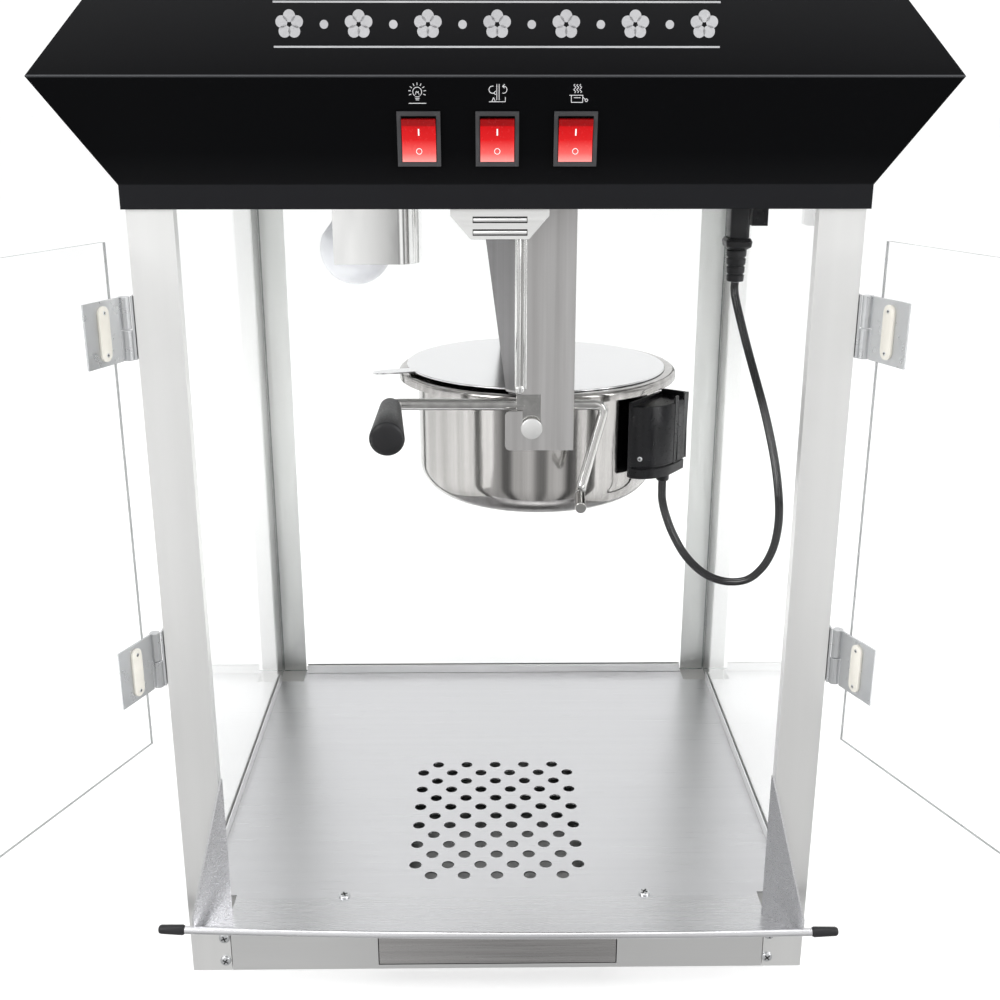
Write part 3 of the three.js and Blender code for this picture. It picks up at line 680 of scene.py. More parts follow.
def kettle_jacket():
    middle = (JACKET_R - JACKET_BEND, JACKET_BOTTOM + JACKET_BEND)
    outer = arc(*middle, JACKET_BEND, -90, 0, 14)
    inner = arc(*middle, JACKET_BEND - SHEET, 0, -90, 14)
    bm = bmesh.new()
    add_turned(bm, [(0, JACKET_BOTTOM), (30, JACKET_BOTTOM), *outer, (JACKET_R, JACKET_TOP),
                    (JACKET_R - SHEET, JACKET_TOP), *inner, (0, JACKET_BOTTOM + SHEET)], KETTLE, KETTLE_SIDES)
    jacket = piece("kettle_jacket_skin", bm, polished, "kettle", smooth=40)
    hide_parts("kettle_jacket")


def kettle_bowl():
    """The bowl's wall with a rounded foot, a rounded lip and a flange whose rim is rolled down."""
    foot = (BOWL_R - BOWL_BEND, BOWL_BOTTOM + BOWL_BEND)
    rim = (RIM_R - LIP_BEND, FLANGE_TOP - LIP_BEND)
    lip = (BOWL_R - BOWL_SHEET + LIP_BEND, FLANGE_TOP - LIP_BEND)
    outside = [(0, BOWL_BOTTOM), (77, BOWL_BOTTOM), *arc(*foot, BOWL_BEND, -90, 0, 6),
               (BOWL_R, FLANGE_TOP - BOWL_SHEET), *arc(*rim, LIP_BEND - SHEET, 90, 0, 8),
               (RIM_R - SHEET, RIM_FOOT)]
    inside = [(RIM_R, RIM_FOOT), *arc(*rim, LIP_BEND, 0, 90, 8), (lip[0], FLANGE_TOP),
              *arc(*lip, LIP_BEND, 90, 180, 6), *arc(*foot, BOWL_BEND - BOWL_SHEET, 0, -90, 6),
              (0, BOWL_BOTTOM + BOWL_SHEET)]
    bm = bmesh.new()
    add_turned(bm, outside + inside, KETTLE, KETTLE_SIDES)
    bowl = piece("kettle_bowl_skin", bm, polished, "kettle", smooth=50)
    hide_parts("kettle_bowl")


LID_SIDES = 96
LID_R = 99.5
LID_LEFT = 10.4
LID_FOOT = FLANGE_TOP + 0.3
FLAP_R = 101.4
FLAP_RIGHT = 9.2
FLAP_BOTTOM = 404.4
TAB_TURN = 199
TAB_ROOT = 92
TAB_LENGTH = 41.5
TAB_HALF_WIDTH = 7.0
TAB_STRAIGHT = 0.55


def half_disc(bm, radius, cut_x, side, bottom, top):
    """A thin disc cut off by the plane x = cut_x and kept on one side of it."""
    reach = math.acos((cut_x - KETTLE[0]) / radius)
    start, end = (reach, 2 * math.pi - reach) if side < 0 else (-reach, reach)
    turns = [start + (end - start) * i / LID_SIDES for i in range(LID_SIDES + 1)]
    rings = []
    for scale, z in ((1.0, bottom), (1.0, top - 0.5), (0.995, top)):
        size = radius * scale
        rings.append([(KETTLE[0] + size * math.cos(turn), size * math.sin(turn), z) for turn in turns])
    ring_faces(bm, rings)


def lid_fixed():
    """The kettle's fixed half lid and the strip that its flap is hinged on."""
    bm = bmesh.new()
    half_disc(bm, LID_R, LID_LEFT, 1, LID_FOOT, LID_FOOT + SHEET)
    add_box(bm, (LID_LEFT + 0.3, -45, FLANGE_TOP + SHEET), (16.4, 45, FLAP_BOTTOM + SHEET))
    fixed = piece("lid_fixed_skin", bm, lid_steel, "kettle", smooth=30, bevel=0.25)
    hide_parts("lid_fixed")


def lid_flap():
    """The half lid that opens, with a lifting tab whose end is round."""
    bm = bmesh.new()
    half_disc(bm, FLAP_R, FLAP_RIGHT, -1, FLAP_BOTTOM, FLAP_BOTTOM + SHEET)
    turn = Matrix.Translation((KETTLE[0] * MM, 0, 0)) @ Matrix.Rotation(math.radians(TAB_TURN), 4, "Z")
    bottom, top = FLAP_BOTTOM, FLAP_BOTTOM + 1.1
    rings = []
    for i in range(13):
        share = i / 12
        reach = TAB_ROOT + TAB_LENGTH * share
        rounding = max(0.0, share - TAB_STRAIGHT) / (1 - TAB_STRAIGHT)
        half = TAB_HALF_WIDTH * math.sqrt(max(0.02, 1 - rounding**2))
        ring = [(reach, -half, bottom), (reach, half, bottom), (reach, half, top), (reach, -half, top)]
        rings.append([turn @ (Vector(point) * MM) / MM for point in ring])
    ring_faces(bm, rings)
    flap = piece("lid_flap_skin", bm, lid_steel, "flap", smooth=30, bevel=0.2)
    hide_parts("lid_flap")


kettle_jacket()
kettle_bowl()
lid_fixed()
lid_flap()


# ---- dump handle, pins and latch ----
PIN_X = 24.7
PIN_Z = 382
ROD_Y = -114.4
LATCH_Y = -113.6
LATCH_TOP = 397
LATCH_FOOT = 335.5


def add_rod(bm, start, end, radius, sides=32, end_radius=None, dome=0.0):
    """A straight round rod, which may taper and end in a dome."""
    start, end = Vector(start), Vector(end)
    end_radius = end_radius or radius
    ahead = (end - start).normalized()
    path = [start, start + ahead * 0.3, end - ahead * 0.3, end]
    scales = [0.92 * radius, radius, end_radius, 0.92 * end_radius]
    if dome:
        path = [start, start + ahead * 1.2]
        scales = [0.82 * radius, radius]
        for i in range(9):
            turn = math.pi / 2 * i / 8
            path.append(end - ahead * dome * (1 - math.sin(turn)))
            scales.append(end_radius * max(0.35, abs(math.cos(turn)) ** 0.55))
    add_swept(bm, path, circle(1.0, sides), facing=(0.3, 0.2, 1), scales=scales)


def add_pin(bm, rear, front, radius, sides):
    """A round pin on the kettle's tilting axis."""
    add_rod(bm, (PIN_X, rear, PIN_Z), (PIN_X, front, PIN_Z), radius, sides)


def handle():
    bm = bmesh.new()
    add_box(bm, (14, -118.4, 372), (35, -116.4, 405.6))
    path = rounded_path([(20, ROD_Y, 397.4), (-74, ROD_Y, 397.8), (-72.6, -135, 396.6)], 9)
    add_swept(bm, path, circle(4.1, 28), facing=(0, 0, 1))
    add_pin(bm, -96, -122, 5.8, 32)
    add_pin(bm, -93.2, -99, 13, 40)
    add_box(bm, (22, -121.6, 379), (27, -119, 385))
    arm = piece("dump_handle_arm", bm, chrome, "kettle", smooth=35, bevel=0.3)
    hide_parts("dump_handle")
    bm = bmesh.new()
    add_pin(bm, -121.1, -123.6, 7.4, 56)
    piece("dump_handle_pin_head", bm, catch_steel, "kettle", smooth=40, bevel=0.4)
    bm = bmesh.new()
    add_rod(bm, (-73, -122.5, 397.5), (-71, -186.6, 391), 7.4, 48, end_radius=11.6, dome=3.2)
    grip = piece("dump_handle_grip", bm, soft_black, "kettle", smooth=50)
    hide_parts("handle_grip")


def latch():
    """A bent rod: along the jacket, down across it and forward at its foot, with a thicker end."""
    front = LATCH_Y - 36
    corners = [(48, LATCH_Y, LATCH_TOP), (76.5, LATCH_Y, LATCH_TOP), (59.2, LATCH_Y - 7, LATCH_FOOT),
               (57.8, front, LATCH_FOOT - 2)]
    bm = bmesh.new()
    add_swept(bm, rounded_path(corners, 8, 10), circle(3.55, 28), facing=(0.2, 1, 0.1))
    add_rod(bm, (57.8, front + 1.5, LATCH_FOOT - 1.9), (57.7, front - 2.4, LATCH_FOOT - 2.1), 3.85)
    lever = piece("latch_lever_rod", bm, chrome, "latch", smooth=40)
    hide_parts("latch_lever")


handle()
latch()


# ---- lamp ----
LAMP = (-105, -5)


def bulb():
    bm = bmesh.new()
    profile = [(0, 466), *arc(0, 493, 27, -89, 22, 22), (21.5, 508), (17.6, 513), (14.4, 518), (13.1, 522),
               (13, 542), (9, 545), (0, 545)]
    add_turned(bm, profile, LAMP, 72)
    item = piece("lamp_bulb_glass", bm, frosted, "cabinet", smooth=60)
    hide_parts("lamp_bulb")


bulb()


# ---- plug on the lead ----
PLUG = (180, -25)
PLUG_FOOT = 470.6
CORNERS = ((1, 1), (-1, 1), (-1, -1), (1, -1))


def plug_rings(levels, corner):
    """Outlines with rounded corners. A level is half a width, half a depth and a height."""
    rings = []
    for half_x, half_y, z in levels:
        ring = []
        for i, (side_x, side_y) in enumerate(CORNERS):
            middle = (PLUG[0] + side_x * (half_x - corner), PLUG[1] + side_y * (half_y - corner))
            ring += [(x, y, z) for x, y in arc(*middle, corner, 90 * i, 90 * i + 90, 5)]
        rings.append(ring)
    return rings


def plug_body():
    """A moulded plug: a ribbed grip, a flared collar and a stepped strain relief."""
    bm = bmesh.new()
    ring_faces(bm, plug_rings(((6.3, 9.2, 502), (7.2, 9.9, 504), (7.2, 9.9, 524.4)), 2.4))
    for rib in range(6):
        z = 506 + 2.9 * rib
        ring_faces(bm, plug_rings(((7.3, 8.6, z), (7.3, 8.6, z + 1.3)), 2.0))
    collar = ((6.6, 8.0, 494.3), (9.2, 11.3, 496.6), (9.7, 11.8, 500.4), (8.6, 10.4, 502.8))
    ring_faces(bm, plug_rings(collar, 3.4))
    for step in range(4):
        z = PLUG_FOOT + 6.1 * step
        radius = 6.3 + 0.35 * step
        skin = [(0, z), (radius - 0.4, z), (radius, z + 0.5), (radius + 0.2, z + 4.6),
                (radius - 0.3, z + 5.0), (0, z + 5.0)]
        add_turned(bm, skin, PLUG, 36)
    add_turned(bm, [(0, PLUG_FOOT), (5.4, PLUG_FOOT), (6.6, 495), (0, 495)], PLUG, 36)
    return piece("lead_plug_body", bm, soft_black, "cabinet", smooth=40, bevel=0.35)


kettle_lead()

# ---- terminal box on the kettle ----
BOX_TURN = math.radians(-35)
BOX_NEAR = 97
BOX_FAR = 119
BOX_RIGHT = 26
BULGE_R = 29
BULGE_ACROSS = 5
# Each wall's near and far reach, its two sides, and its bottom and top.
BOX_WALLS = (
    (117.4, 118.9, 5.6, 11, 340, 391), (117.4, 118.9, 20, 26, 340, 391), (117.4, 118.9, 11, 20, 340, 382),
    (97, 118.9, 24.5, 26, 340, 391), (95.4, 98.5, -23.5, 25.5, 332, 389),
)


def box_place(reach, across, z):
    """A point given outwards from the kettle's axis and sideways, along the box's own direction."""
    x = KETTLE[0] + reach * math.cos(BOX_TURN) - across * math.sin(BOX_TURN)
    y = reach * math.sin(BOX_TURN) + across * math.cos(BOX_TURN)
    return (x, y, z)


def box_plan(inset):
    """The housing's plan: bulging on one side, flat on the other."""
    bulge = arc(0, 0, 1.0, -90, 0, 16)
    deep = BOX_FAR - BOX_NEAR - inset
    plan = [(BOX_NEAR + deep * u, BULGE_ACROSS + (BULGE_R - inset) * v) for u, v in bulge]
    return plan + [(BOX_FAR - inset, BOX_RIGHT - inset), (BOX_NEAR, BOX_RIGHT - inset)]


def terminal_box():
    bm = bmesh.new()
    levels = ((0.9, 331.3), (0.9, 338.6), (2.2, 339.2), (2.2, 340), (0.4, 340.8), (0.4, 385), (1.2, 386.4))
    ring_faces(bm, [[box_place(x, y, z) for x, y in box_plan(inset)] for inset, z in levels])
    for near, far, start, end, bottom, top in BOX_WALLS:
        plan = [(near, start), (far, start), (far, end), (near, end)]
        ring_faces(bm, [[box_place(x, y, z) for x, y in plan] for z in (bottom, top)])
    gland = [(0, 324.3), (4.6, 324.3), (4.9, 325.4), (4.9, 332), (0, 332)]
    add_turned(bm, gland, box_place(108.8, 9, 0)[:2], 28)
    box = piece("terminal_box_housing", bm, bakelite, "kettle", smooth=40, bevel=0.7)
    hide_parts("terminal_box")
    out = Vector(box_place(0.35, -1, 0)) - Vector(box_place(0, 0, 0))
    screws("terminal_box_screw", [box_place(104.5, -21.0, 347)], out, 2.0, "kettle")


terminal_box()


# ---- lamp shield and door catch ----
SHIELD_LEFT = -118
SHIELD_RIGHT = -56
SHIELD_FRONT = -40
SHIELD_BEND = 15
CATCH_Y = -205.7


def lamp_shield():
    """A bright strip that runs flat across the front and bends round to the right."""
    middle = (SHIELD_RIGHT - SHIELD_BEND, SHIELD_FRONT + SHIELD_BEND)
    skins = []
    for inset in (0.0, 1.0):
        curve = arc(*middle, SHIELD_BEND - inset, -90, 0, 16)
        front = SHIELD_FRONT + inset
        skins.append([(SHIELD_LEFT, front), (-96, front), *curve, (SHIELD_RIGHT - inset, 22)])
    plan = skins[0] + skins[1][::-1]
    bm = bmesh.new()
    ring_faces(bm, [[(x, y, z) for x, y in plan] for z in (485, 555.6)])
    shield = piece("lamp_shield_skin", bm, shield_steel, "cabinet", smooth=35, bevel=0.2)
    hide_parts("lamp_shield")


def door_catch():
    """A pale plate under the hood's lip, with two slots drawn as dark boxes of painted shade, each holding a
    bright bar.
    """
    outline = [(-28, 549.6), (-28, 534), (-16, 520.2), (19, 520.2), (31, 534), (31, 549.6)]
    bm = bmesh.new()
    ring_faces(bm, [[(x, y, z) for x, z in outline] for y in (CATCH_Y, CATCH_Y + SHEET)])
    plate = piece("door_catch_plate", bm, catch_steel, "cabinet", bevel=0.3)
    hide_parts("door_catch")
    dark = bmesh.new()
    bars = bmesh.new()
    for z in (524.3, 531.7):
        # Each slot is a dark box over the plate, not a cut: painted shade.
        add_box(dark, (-14.6, CATCH_Y - 0.12, z - 1.9), (18.0, CATCH_Y + 0.3, z + 1.9))
        add_rod(bars, (-14.2, CATCH_Y + 0.2, z - 0.1), (17.6, CATCH_Y + 0.2, z - 0.1), 1.15, 20)
    piece("door_catch_slot_shade", dark, painted_shade_black, "cabinet")
    piece("door_catch_bars", bars, catch_steel, "cabinet")


lamp_shield()
door_catch()

# ---- serving shelf ----
SHELF_Z = 43.3
SHELF_REAR = -183.0
SHELF_BEND_Y = -205.9
SHELF_HALF = 190.8
FRONT_HALF = 213.5
GUSSET_TOP = 155
HEM_HALF = 219
HEM_Y, HEM_Z, HEM_R = -227.0, 46.3, 2.75


def sag(x, y, z):
    """The shelf's front edge bows out in the middle and sits a little askew."""
    share = max(0.0, min(1.0, (SHELF_BEND_Y - y) / (SHELF_BEND_Y - HEM_Y)))
    return (x, y + share * (4.5 * (x / HEM_HALF) ** 2 - 2.2 - 0.017 * x), z)


def serving_shelf():
    """One bent sheet: a tray, a round hem along its front, and a gusset up each front post."""
    inner, end, bend = SHELF_HALF, FRONT_HALF, SHELF_BEND_Y
    bm = bmesh.new()
    front = [(end * (i / 12 - 1), HEM_Y) for i in range(25)]
    outline = [(-inner, SHELF_REAR), (-inner, bend), *front, (inner, bend), (inner, SHELF_REAR)]
    ring_faces(bm, [[sag(x, y, z) for x, y in outline] for z in (SHELF_Z, SHELF_Z + SHEET)])
    hem = [Vector(sag(HEM_HALF * (i / 24 - 1), HEM_Y, HEM_Z)) for i in range(49)]
    add_swept(bm, hem, circle(HEM_R, 28), facing=(0, 0, 1))
    gusset = [(end, HEM_Y, SHELF_Z), (inner, bend, SHELF_Z), (inner, bend + 4, SHELF_Z),
              (inner, bend + 4, GUSSET_TOP), (inner, bend, GUSSET_TOP), (end, HEM_Y, 56)]
    for side in (-1, 1):
        ring_faces(bm, [[sag(side * (x - shift), y, z) for x, y, z in gusset] for shift in (0.0, SHEET)])
    shelf = piece("serving_shelf_sheet", bm, shelf_steel, "cabinet", smooth=35, bevel=0.25)
    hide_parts("serving_shelf")
    for side, name in ((-1, "left"), (1, "right")):
        bm = bmesh.new()
        start, tip = [sag(side * reach, HEM_Y, HEM_Z) for reach in (HEM_HALF + 0.5, 237.8)]
        add_rod(bm, start, tip, 3.65, 32, end_radius=3.2, dome=2.6)
        cap = piece(f"shelf_cap_{name}_tip", bm, soft_black, "cabinet", smooth=50)
        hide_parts(f"shelf_cap_{name}")


serving_shelf()


# ---- bead on the front hanger ----
def hanger_bead():
    """The rounded bend between the front hanger's plate and its slanting web, ending in a small boss, in a
    paler steel that paints the bend's highlight.
    """
    bm = bmesh.new()
    for x, y, radius in ((15.2, -119.6, 2.6), (19.8, -121.0, 1.5)):
        add_rod(bm, (x, y, 410), (x, y, 555), radius, 28)
    add_rod(bm, (16.4, -119.0, 409.5), (16.4, -122.6, 409.5), 3.2, 28, dome=1.4)
    piece("hanger_bead", bm, bead_highlight_steel, "cabinet", smooth=50)


hanger_bead()


# ---- small marks on the hood ----
# Each panel's lower and upper edge, as (y, z).
LOWER_PANEL = ((-207.3, 552.0), (-216.0, 612.4))
UPPER_PANEL = ((-216.0, 612.4), (-200.0, 700.0))
PRINT_LIFTS = (0.02, 0.12)
ICON_LINE = 0.36
ICON_Z = 602.9
ICON_SCALE = 0.84
ORNAMENT_Z = 640
ORNAMENT_PITCH = 19.5


def on_panel(panel, x, z, lift):
    (y0, z0), (y1, z1) = panel
    y = y0 + (y1 - y0) * (z - z0) / (z1 - z0)
    out = Vector((0, -(z1 - z0), y1 - y0)).normalized()
    return Vector((x, y, z)) + out * lift


def add_print(bm, panel, outline):
    """A printed shape on a hood panel, with a thin real thickness."""
    ring_faces(bm, [[on_panel(panel, x, z, lift) for x, z in outline] for lift in PRINT_LIFTS])


def add_stroke(bm, panel, points, width):
    """A printed line of one width through (x, z) points."""
    for (x0, z0), (x1, z1) in zip(points, points[1:]):
        side = Vector((z0 - z1, x1 - x0)).normalized() * width / 2
        add_print(bm, panel, [(x0 + side.x, z0 + side.y), (x0 - side.x, z0 - side.y),
                              (x1 - side.x, z1 - side.y), (x1 + side.x, z1 + side.y)])


def add_dot(bm, x, z, radius):
    add_print(bm, UPPER_PANEL, [(x + u, z + v) for u, v in circle(radius, 20)])


def icon_lamp(draw):
    """A bulb with rays, over a line."""
    draw(arc(0, 1.2, 3.0, -55, 235, 22))
    for rise, half in ((-2.0, 1.5), (-3.0, 1.4), (-4.0, 1.1)):
        draw([(-half, rise), (half, rise)])
    draw([(-1.2, -0.6), (-0.7, 1.6), (0, 0.6), (0.7, 1.6), (1.2, -0.6)], 0.3)
    for ray in range(9):
        turn = math.radians(-20 + 27.5 * ray)
        draw([(reach * math.cos(turn), 1.2 + reach * math.sin(turn)) for reach in (4.3, 6.0)])
    draw([(-6, -6.2), (6, -6.2)])


def icon_stirrer(draw):
    """A shaft over a pan, with a turning arrow on each side."""
    for x in (-0.8, 0.8):
        draw([(x, 6.2), (x, -4.2)])
    draw([(-6, -5.2), (5, -5.2), (5, -2.2)])
    draw([(-4.2, -5.0), (-3.0, -2.4), (-1.8, -5.0)])
    for side in (-1, 1):
        curve = [(side * (2.6 + u), 2.6 + v) for u, v in arc(1.2, 0, 2.3, -110, 110, 14)]
        draw(curve)
        x, z = curve[0 if side < 0 else -1]
        draw([(x + 1.5, z + 1.3), (x, z), (x + 1.5, z - 1.1)])


def icon_pot(draw):
    """A pot with a handle and three curls of steam."""
    draw([(-5.8, -1.0), (3.4, -1.0), (3.4, -5.6), (-4.4, -5.6), (-4.4, -1.0)])
    draw([(-2.6, -2.6), (1.8, -2.6)])
    draw([(3.4, -2.2), (5.0, -3.6)])
    draw(arc(5.9, -4.2, 0.9, 0, 360, 12))
    for x in (-2.2, -0.2, 1.8):
        draw([(x + 0.7 * math.sin(1.15 * step), 0.6 + 0.5 * step) for step in range(12)])


def add_icon(bm, icon, x):
    """Draws an icon about its place over a switch, then shrinks it about that place."""
    def draw(points, width=ICON_LINE):
        add_stroke(bm, LOWER_PANEL, [(x + u, ICON_Z + v) for u, v in points], width)

    before = len(bm.verts)
    icon(draw)
    bm.verts.ensure_lookup_table()
    middle = on_panel(LOWER_PANEL, x, ICON_Z, 0) * MM
    for vert in bm.verts[before:]:
        vert.co = middle + (vert.co - middle) * ICON_SCALE


def switch_icons():
    bm = bmesh.new()
    for icon, x in ((icon_lamp, -45.6), (icon_stirrer, 0.4), (icon_pot, 46.0)):
        add_icon(bm, icon, x)
    piece("switch_icons", bm, icon_print, "cabinet", smooth=20)


def hood_ornament():
    """A plain band of puffs and dots with a line under and over it."""
    bm = bmesh.new()
    for i in range(-6, 7):
        x = i * ORNAMENT_PITCH
        if i % 2:
            add_dot(bm, x, ORNAMENT_Z, 2.4)
            continue
        for u, v in arc(0, 0, 4.6, 90, 378, 4):
            add_dot(bm, x + u, ORNAMENT_Z + v, 3.4)
    for z in (ORNAMENT_Z - 12, ORNAMENT_Z + 12):
        add_stroke(bm, UPPER_PANEL, [(-126, z), (126, z)], 1.0)
    piece("hood_ornament", bm, print_grey, "cabinet", smooth=20)


switch_icons()
hood_ornament()

# ---- marks on the rockers ----
SWITCH_PITCH = 45.2
SWITCH_Z = 578.2
PANEL_Y = -211.07
PANEL_TILT = 8.2
ROCKER_Y = -213.37
ROCKER_REST = 7
RING_Z = 571.9


def turn_about(place, degrees, axis):
    """A turn about a line along an axis through a place."""
    turn = Matrix.Rotation(math.radians(degrees), 4, axis)
    return Matrix.Translation(place) @ turn @ Matrix.Translation(-place)


def add_mark(bm, turn, x, outline):
    """A thin mark on a rocker's face, which rises to both sides of its middle."""
    rings = []
    for lift in (0.1, 0):
        slope = [ROCKER_Y - 0.32 + lift - 1.6 * abs(z - SWITCH_Z) / 12.2 for _, z in outline]
        rings.append([turn @ Vector((x + u, y, z)) for (u, z), y in zip(outline, slope)])
    ring_faces(bm, rings)


def rocker_marks():
    """The generic on and off marks, a bar and a ring, on each rocker."""
    outer = circle(1.75, 20)
    inner = circle(1.42, 20)
    for i, name in enumerate(SWITCHES):
        x = (i - 1) * SWITCH_PITCH
        turn = turn_about(Vector((x, PANEL_Y, SWITCH_Z)), PANEL_TILT, "X")
        turn = turn @ turn_about(Vector((x, ROCKER_Y + 3, SWITCH_Z)), ROCKER_REST, "X")
        bm = bmesh.new()
        add_mark(bm, turn, x, [(-0.4, 580.9), (0.4, 580.9), (0.4, 584.9), (-0.4, 584.9)])
        for k in range(-1, 19):
            quad = (outer[k], outer[k + 1], inner[k + 1], inner[k])
            add_mark(bm, turn, x, [(u, RING_Z + v) for u, v in quad])
        piece(f"rocker_marks_{name}", bm, white_mark, f"rocker_{name}", smooth=20)


rocker_marks()

# ---- hinges, their pads and screws ----
DOOR_OPEN = 112.0
HINGE_AXIS = (-225.3, -207.2)
HINGE_TALL = 39.0
HINGE_BOTTOMS = (("lower", 228), ("upper", 448))
BARREL_R = 3.4
POST_FACE = -220.35
PAD_REACH = 21
PAD_TOP = 1.9
PAD_SCREW = 12.6


def side_matrix(side):
    return Matrix.Identity(4) if side == "left" else Matrix.Scale(-1, 4, (1, 0, 0))


def door_matrix(side):
    """From the shut left door's place to where that side's door stands open, in metres."""
    return side_matrix(side) @ turn_about(Vector((*HINGE_AXIS, 0)) * MM, -DOOR_OPEN, "Z")


def hinge_leaves(side, level, bottom):
    """A lift-off hinge: the door's leaf has the upper knuckle and pin, the post's leaf the lower knuckle."""
    x, y = HINGE_AXIS
    middle = bottom + HINGE_TALL * 0.48
    top = bottom + HINGE_TALL
    bm = bmesh.new()
    add_box(bm, (x + 4.8, y - 1.2, bottom), (x + 37, y, top))
    add_box(bm, (x + 0.5, y - 1.2, middle + 0.5), (x + 5.2, y, top))
    add_barrel(bm, middle + 0.5, top - 0.2)
    bmesh.ops.transform(bm, matrix=door_matrix(side), verts=bm.verts)
    leaf = piece(f"hinge_leaf_{side}_{level}", bm, zinc, f"{side}_door", bevel=0.2)
    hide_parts(f"hinge_door_leaf_{side}_{level}")
    bm = bmesh.new()
    add_box(bm, (POST_FACE - 1.35, y + 0.5, bottom), (POST_FACE, y + 22, top))
    add_box(bm, (x + 1.0, y + 0.4, bottom), (POST_FACE - 0.15, y + 1.8, middle - 0.5))
    add_barrel(bm, bottom, middle - 0.3)
    bmesh.ops.transform(bm, matrix=side_matrix(side), verts=bm.verts)
    leaf = piece(f"hinge_foot_{side}_{level}", bm, zinc, "cabinet", bevel=0.2)
    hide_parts(f"hinge_post_leaf_{side}_{level}")


def add_barrel(bm, bottom, top):
    add_turned(bm, [(0, bottom), (BARREL_R, bottom), (BARREL_R, top), (0, top)], HINGE_AXIS, 36)


def door_fittings(side):
    """On each hinge leaf, a cream pad with round ends and a small screw at each end."""
    matrix = door_matrix(side)
    ahead = (matrix.to_3x3() @ Vector((0, 1, 0))).normalized()
    x, y = HINGE_AXIS
    x += PAD_REACH
    outline = arc(0, 11.8, 4.7, 0, 180, 12) + arc(0, -11.8, 4.7, 180, 360, 12)
    pads = bmesh.new()
    heads = bmesh.new()
    crosses = bmesh.new()
    for level, bottom in HINGE_BOTTOMS:
        hinge_leaves(side, level, bottom)
        middle = bottom + HINGE_TALL / 2
        rings = []
        for scale, lift in ((1.0, 0.05), (1.0, PAD_TOP - 0.6), (0.88, PAD_TOP)):
            ring = [Vector((x + u * scale, y + lift, middle + v * scale)) for u, v in outline]
            rings.append([matrix @ (point * MM) / MM for point in ring])
        ring_faces(pads, rings)
        for rise in (-PAD_SCREW, PAD_SCREW):
            place = matrix @ (Vector((x, y + PAD_TOP - 0.6, middle + rise)) * MM) / MM
            add_screw(heads, crosses, place, ahead, 1.5, turn=15 + rise)
    piece(f"hinge_pads_{side}", pads, cream, f"{side}_door", smooth=35)
    screw_pieces(f"hinge_pad_screws_{side}", heads, crosses, f"{side}_door")


for door_side in ("left", "right"):
    door_fittings(door_side)

# ---- screws on the cabinet ----
FRONT = -205
REAR = 208.8
POST_SCREWS = [(-196, FRONT, 27.5), (-196.2, FRONT, 8.3), (195.6, FRONT, 27.5), (195.2, FRONT, 8.1)]
screws("post_screws", POST_SCREWS, (0, -1, 0), 3.9)
screws("deck_screws", [(-112, -181, 44.5), (108, -180, 44.5)], (0, 0, 1), 4.2)
screws("rear_panel_screws", [(x, REAR, z) for x in (-114, 114) for z in (580, 674)], (0, 1, 0), 2.6)


# ---- floor and light, in metres ----
FLOOR_GLOW = 0.16
# Brightness round the horizon, in turns: 0 is the left, 0.25 behind the camera, 0.5 the right.
AROUND = (
    (0.0, 0.45), (0.03, 0.55), (0.06, 1.0), (0.145, 0.95), (0.155, 0.25), (0.172, 0.2), (0.185, 1.2),
    (0.236, 1.2), (0.246, 0.42), (0.268, 0.38), (0.279, 1.2), (0.315, 1.2), (0.328, 0.22), (0.345, 0.25),
    (0.36, 0.95), (0.44, 1.0), (0.47, 0.55), (0.52, 0.55), (0.55, 1.0), (1.0, 0.45),
)
# Brightness from straight down to straight up.
UP_DOWN = ((0.0, 0.55), (0.3, 0.75), (0.44, 0.85), (0.5, 0.9), (0.62, 1.0), (0.8, 1.0), (1.0, 0.9))
FAR_WALL = 1.1
LIGHT_AIM = (0, 0, 0.3)


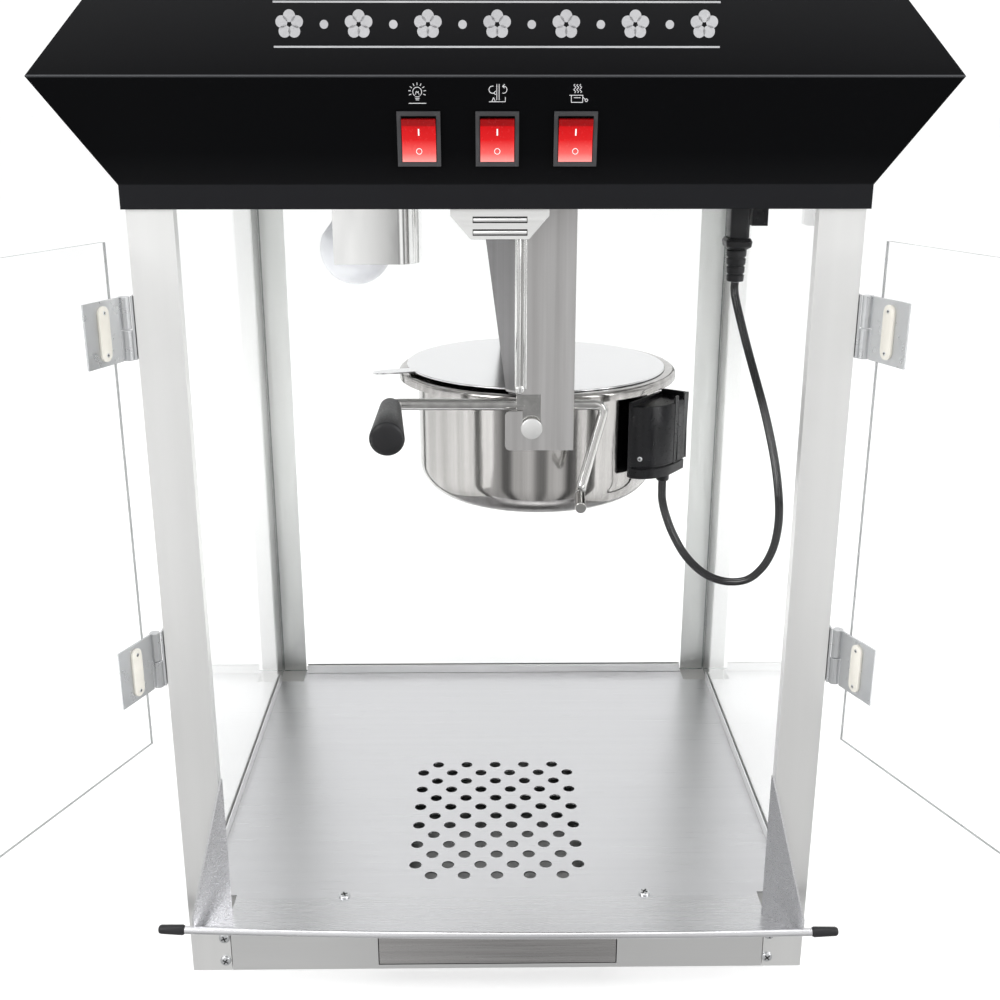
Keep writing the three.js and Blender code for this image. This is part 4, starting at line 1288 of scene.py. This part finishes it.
def stage():
    bm = bmesh.new()
    bmesh.ops.create_grid(bm, x_segments=1, y_segments=1, size=60.0)
    mesh = bpy.data.meshes.new("floor")
    bm.to_mesh(mesh)
    bm.free()
    floor = new_object("floor", mesh)
    floor.location.z = -0.0005
    floor.visible_glossy = False
    pale = plastic("pale_floor", (0.9, 0.9, 0.9), (0.92, 0.92, 0.92), (0.55, 0.7), 30, 0.0)
    shader = pale.node_tree.nodes["Principled BSDF"]
    shader.inputs["Emission Color"].default_value = (1, 1, 1, 1)
    shader.inputs["Emission Strength"].default_value = FLOOR_GLOW
    mesh.materials.append(pale)


def softbox(name, place, size, power):
    data = bpy.data.lights.new(name, "AREA")
    data.shape = "RECTANGLE"
    data.size, data.size_y = size
    data.energy = power
    light = new_object(name, data)
    light.location = place
    light.rotation_euler = (Vector(LIGHT_AIM) - Vector(place)).to_track_quat("-Z", "Y").to_euler()


def brightness_ramp(tree, stops):
    return colour_ramp(tree, [(position, (value,) * 3) for position, value in stops])


def studio_world():
    """White on the far side; on the camera's side soft bright and dark bands."""
    world = bpy.data.worlds.new("studio")
    bpy.context.scene.world = world
    nodes = Tree(world)
    shade = nodes.tree.nodes["Background"]
    shade.inputs["Color"].default_value = (1, 1, 1, 1)
    place = nodes.new("TexCoord")
    parts = nodes.new("SeparateXYZ")
    turn = nodes.new("TexGradient", gradient_type="RADIAL")
    bands = brightness_ramp(nodes.tree, AROUND)
    heights = brightness_ramp(nodes.tree, UP_DOWN)
    up = nodes.new("MapRange", **{"From Min": -1})
    far = nodes.new("MapRange", interpolation_type="SMOOTHSTEP",
                    **{"From Min": -0.05, "From Max": 0.3})
    near = nodes.new("Math", operation="MULTIPLY")
    total = nodes.new("Mix")
    total.inputs[3].default_value = FAR_WALL
    for link in (
        (place, "Generated", parts, "Vector"), (place, "Generated", turn, "Vector"),
        (turn, "Fac", bands, "Fac"), (parts, "Z", up, "Value"), (up, "Result", heights, "Fac"),
        (parts, "Y", far, "Value"), (bands, "Color", near, 0), (heights, "Color", near, 1),
        (far, "Result", total, 0), (near, "Value", total, 2), (total, 0, shade, "Strength"),
    ):
        nodes.link(*link)


stage()
studio_world()
softbox("key_left", (-1.6, -1.5, 1.5), (1.0, 1.4), 26)
softbox("key_right", (1.7, -1.3, 1.3), (0.8, 1.4), 20)
softbox("top_light", (0.0, -0.3, 2.4), (1.4, 1.4), 22)
bpy.context.scene.view_settings.view_transform = "Standard"
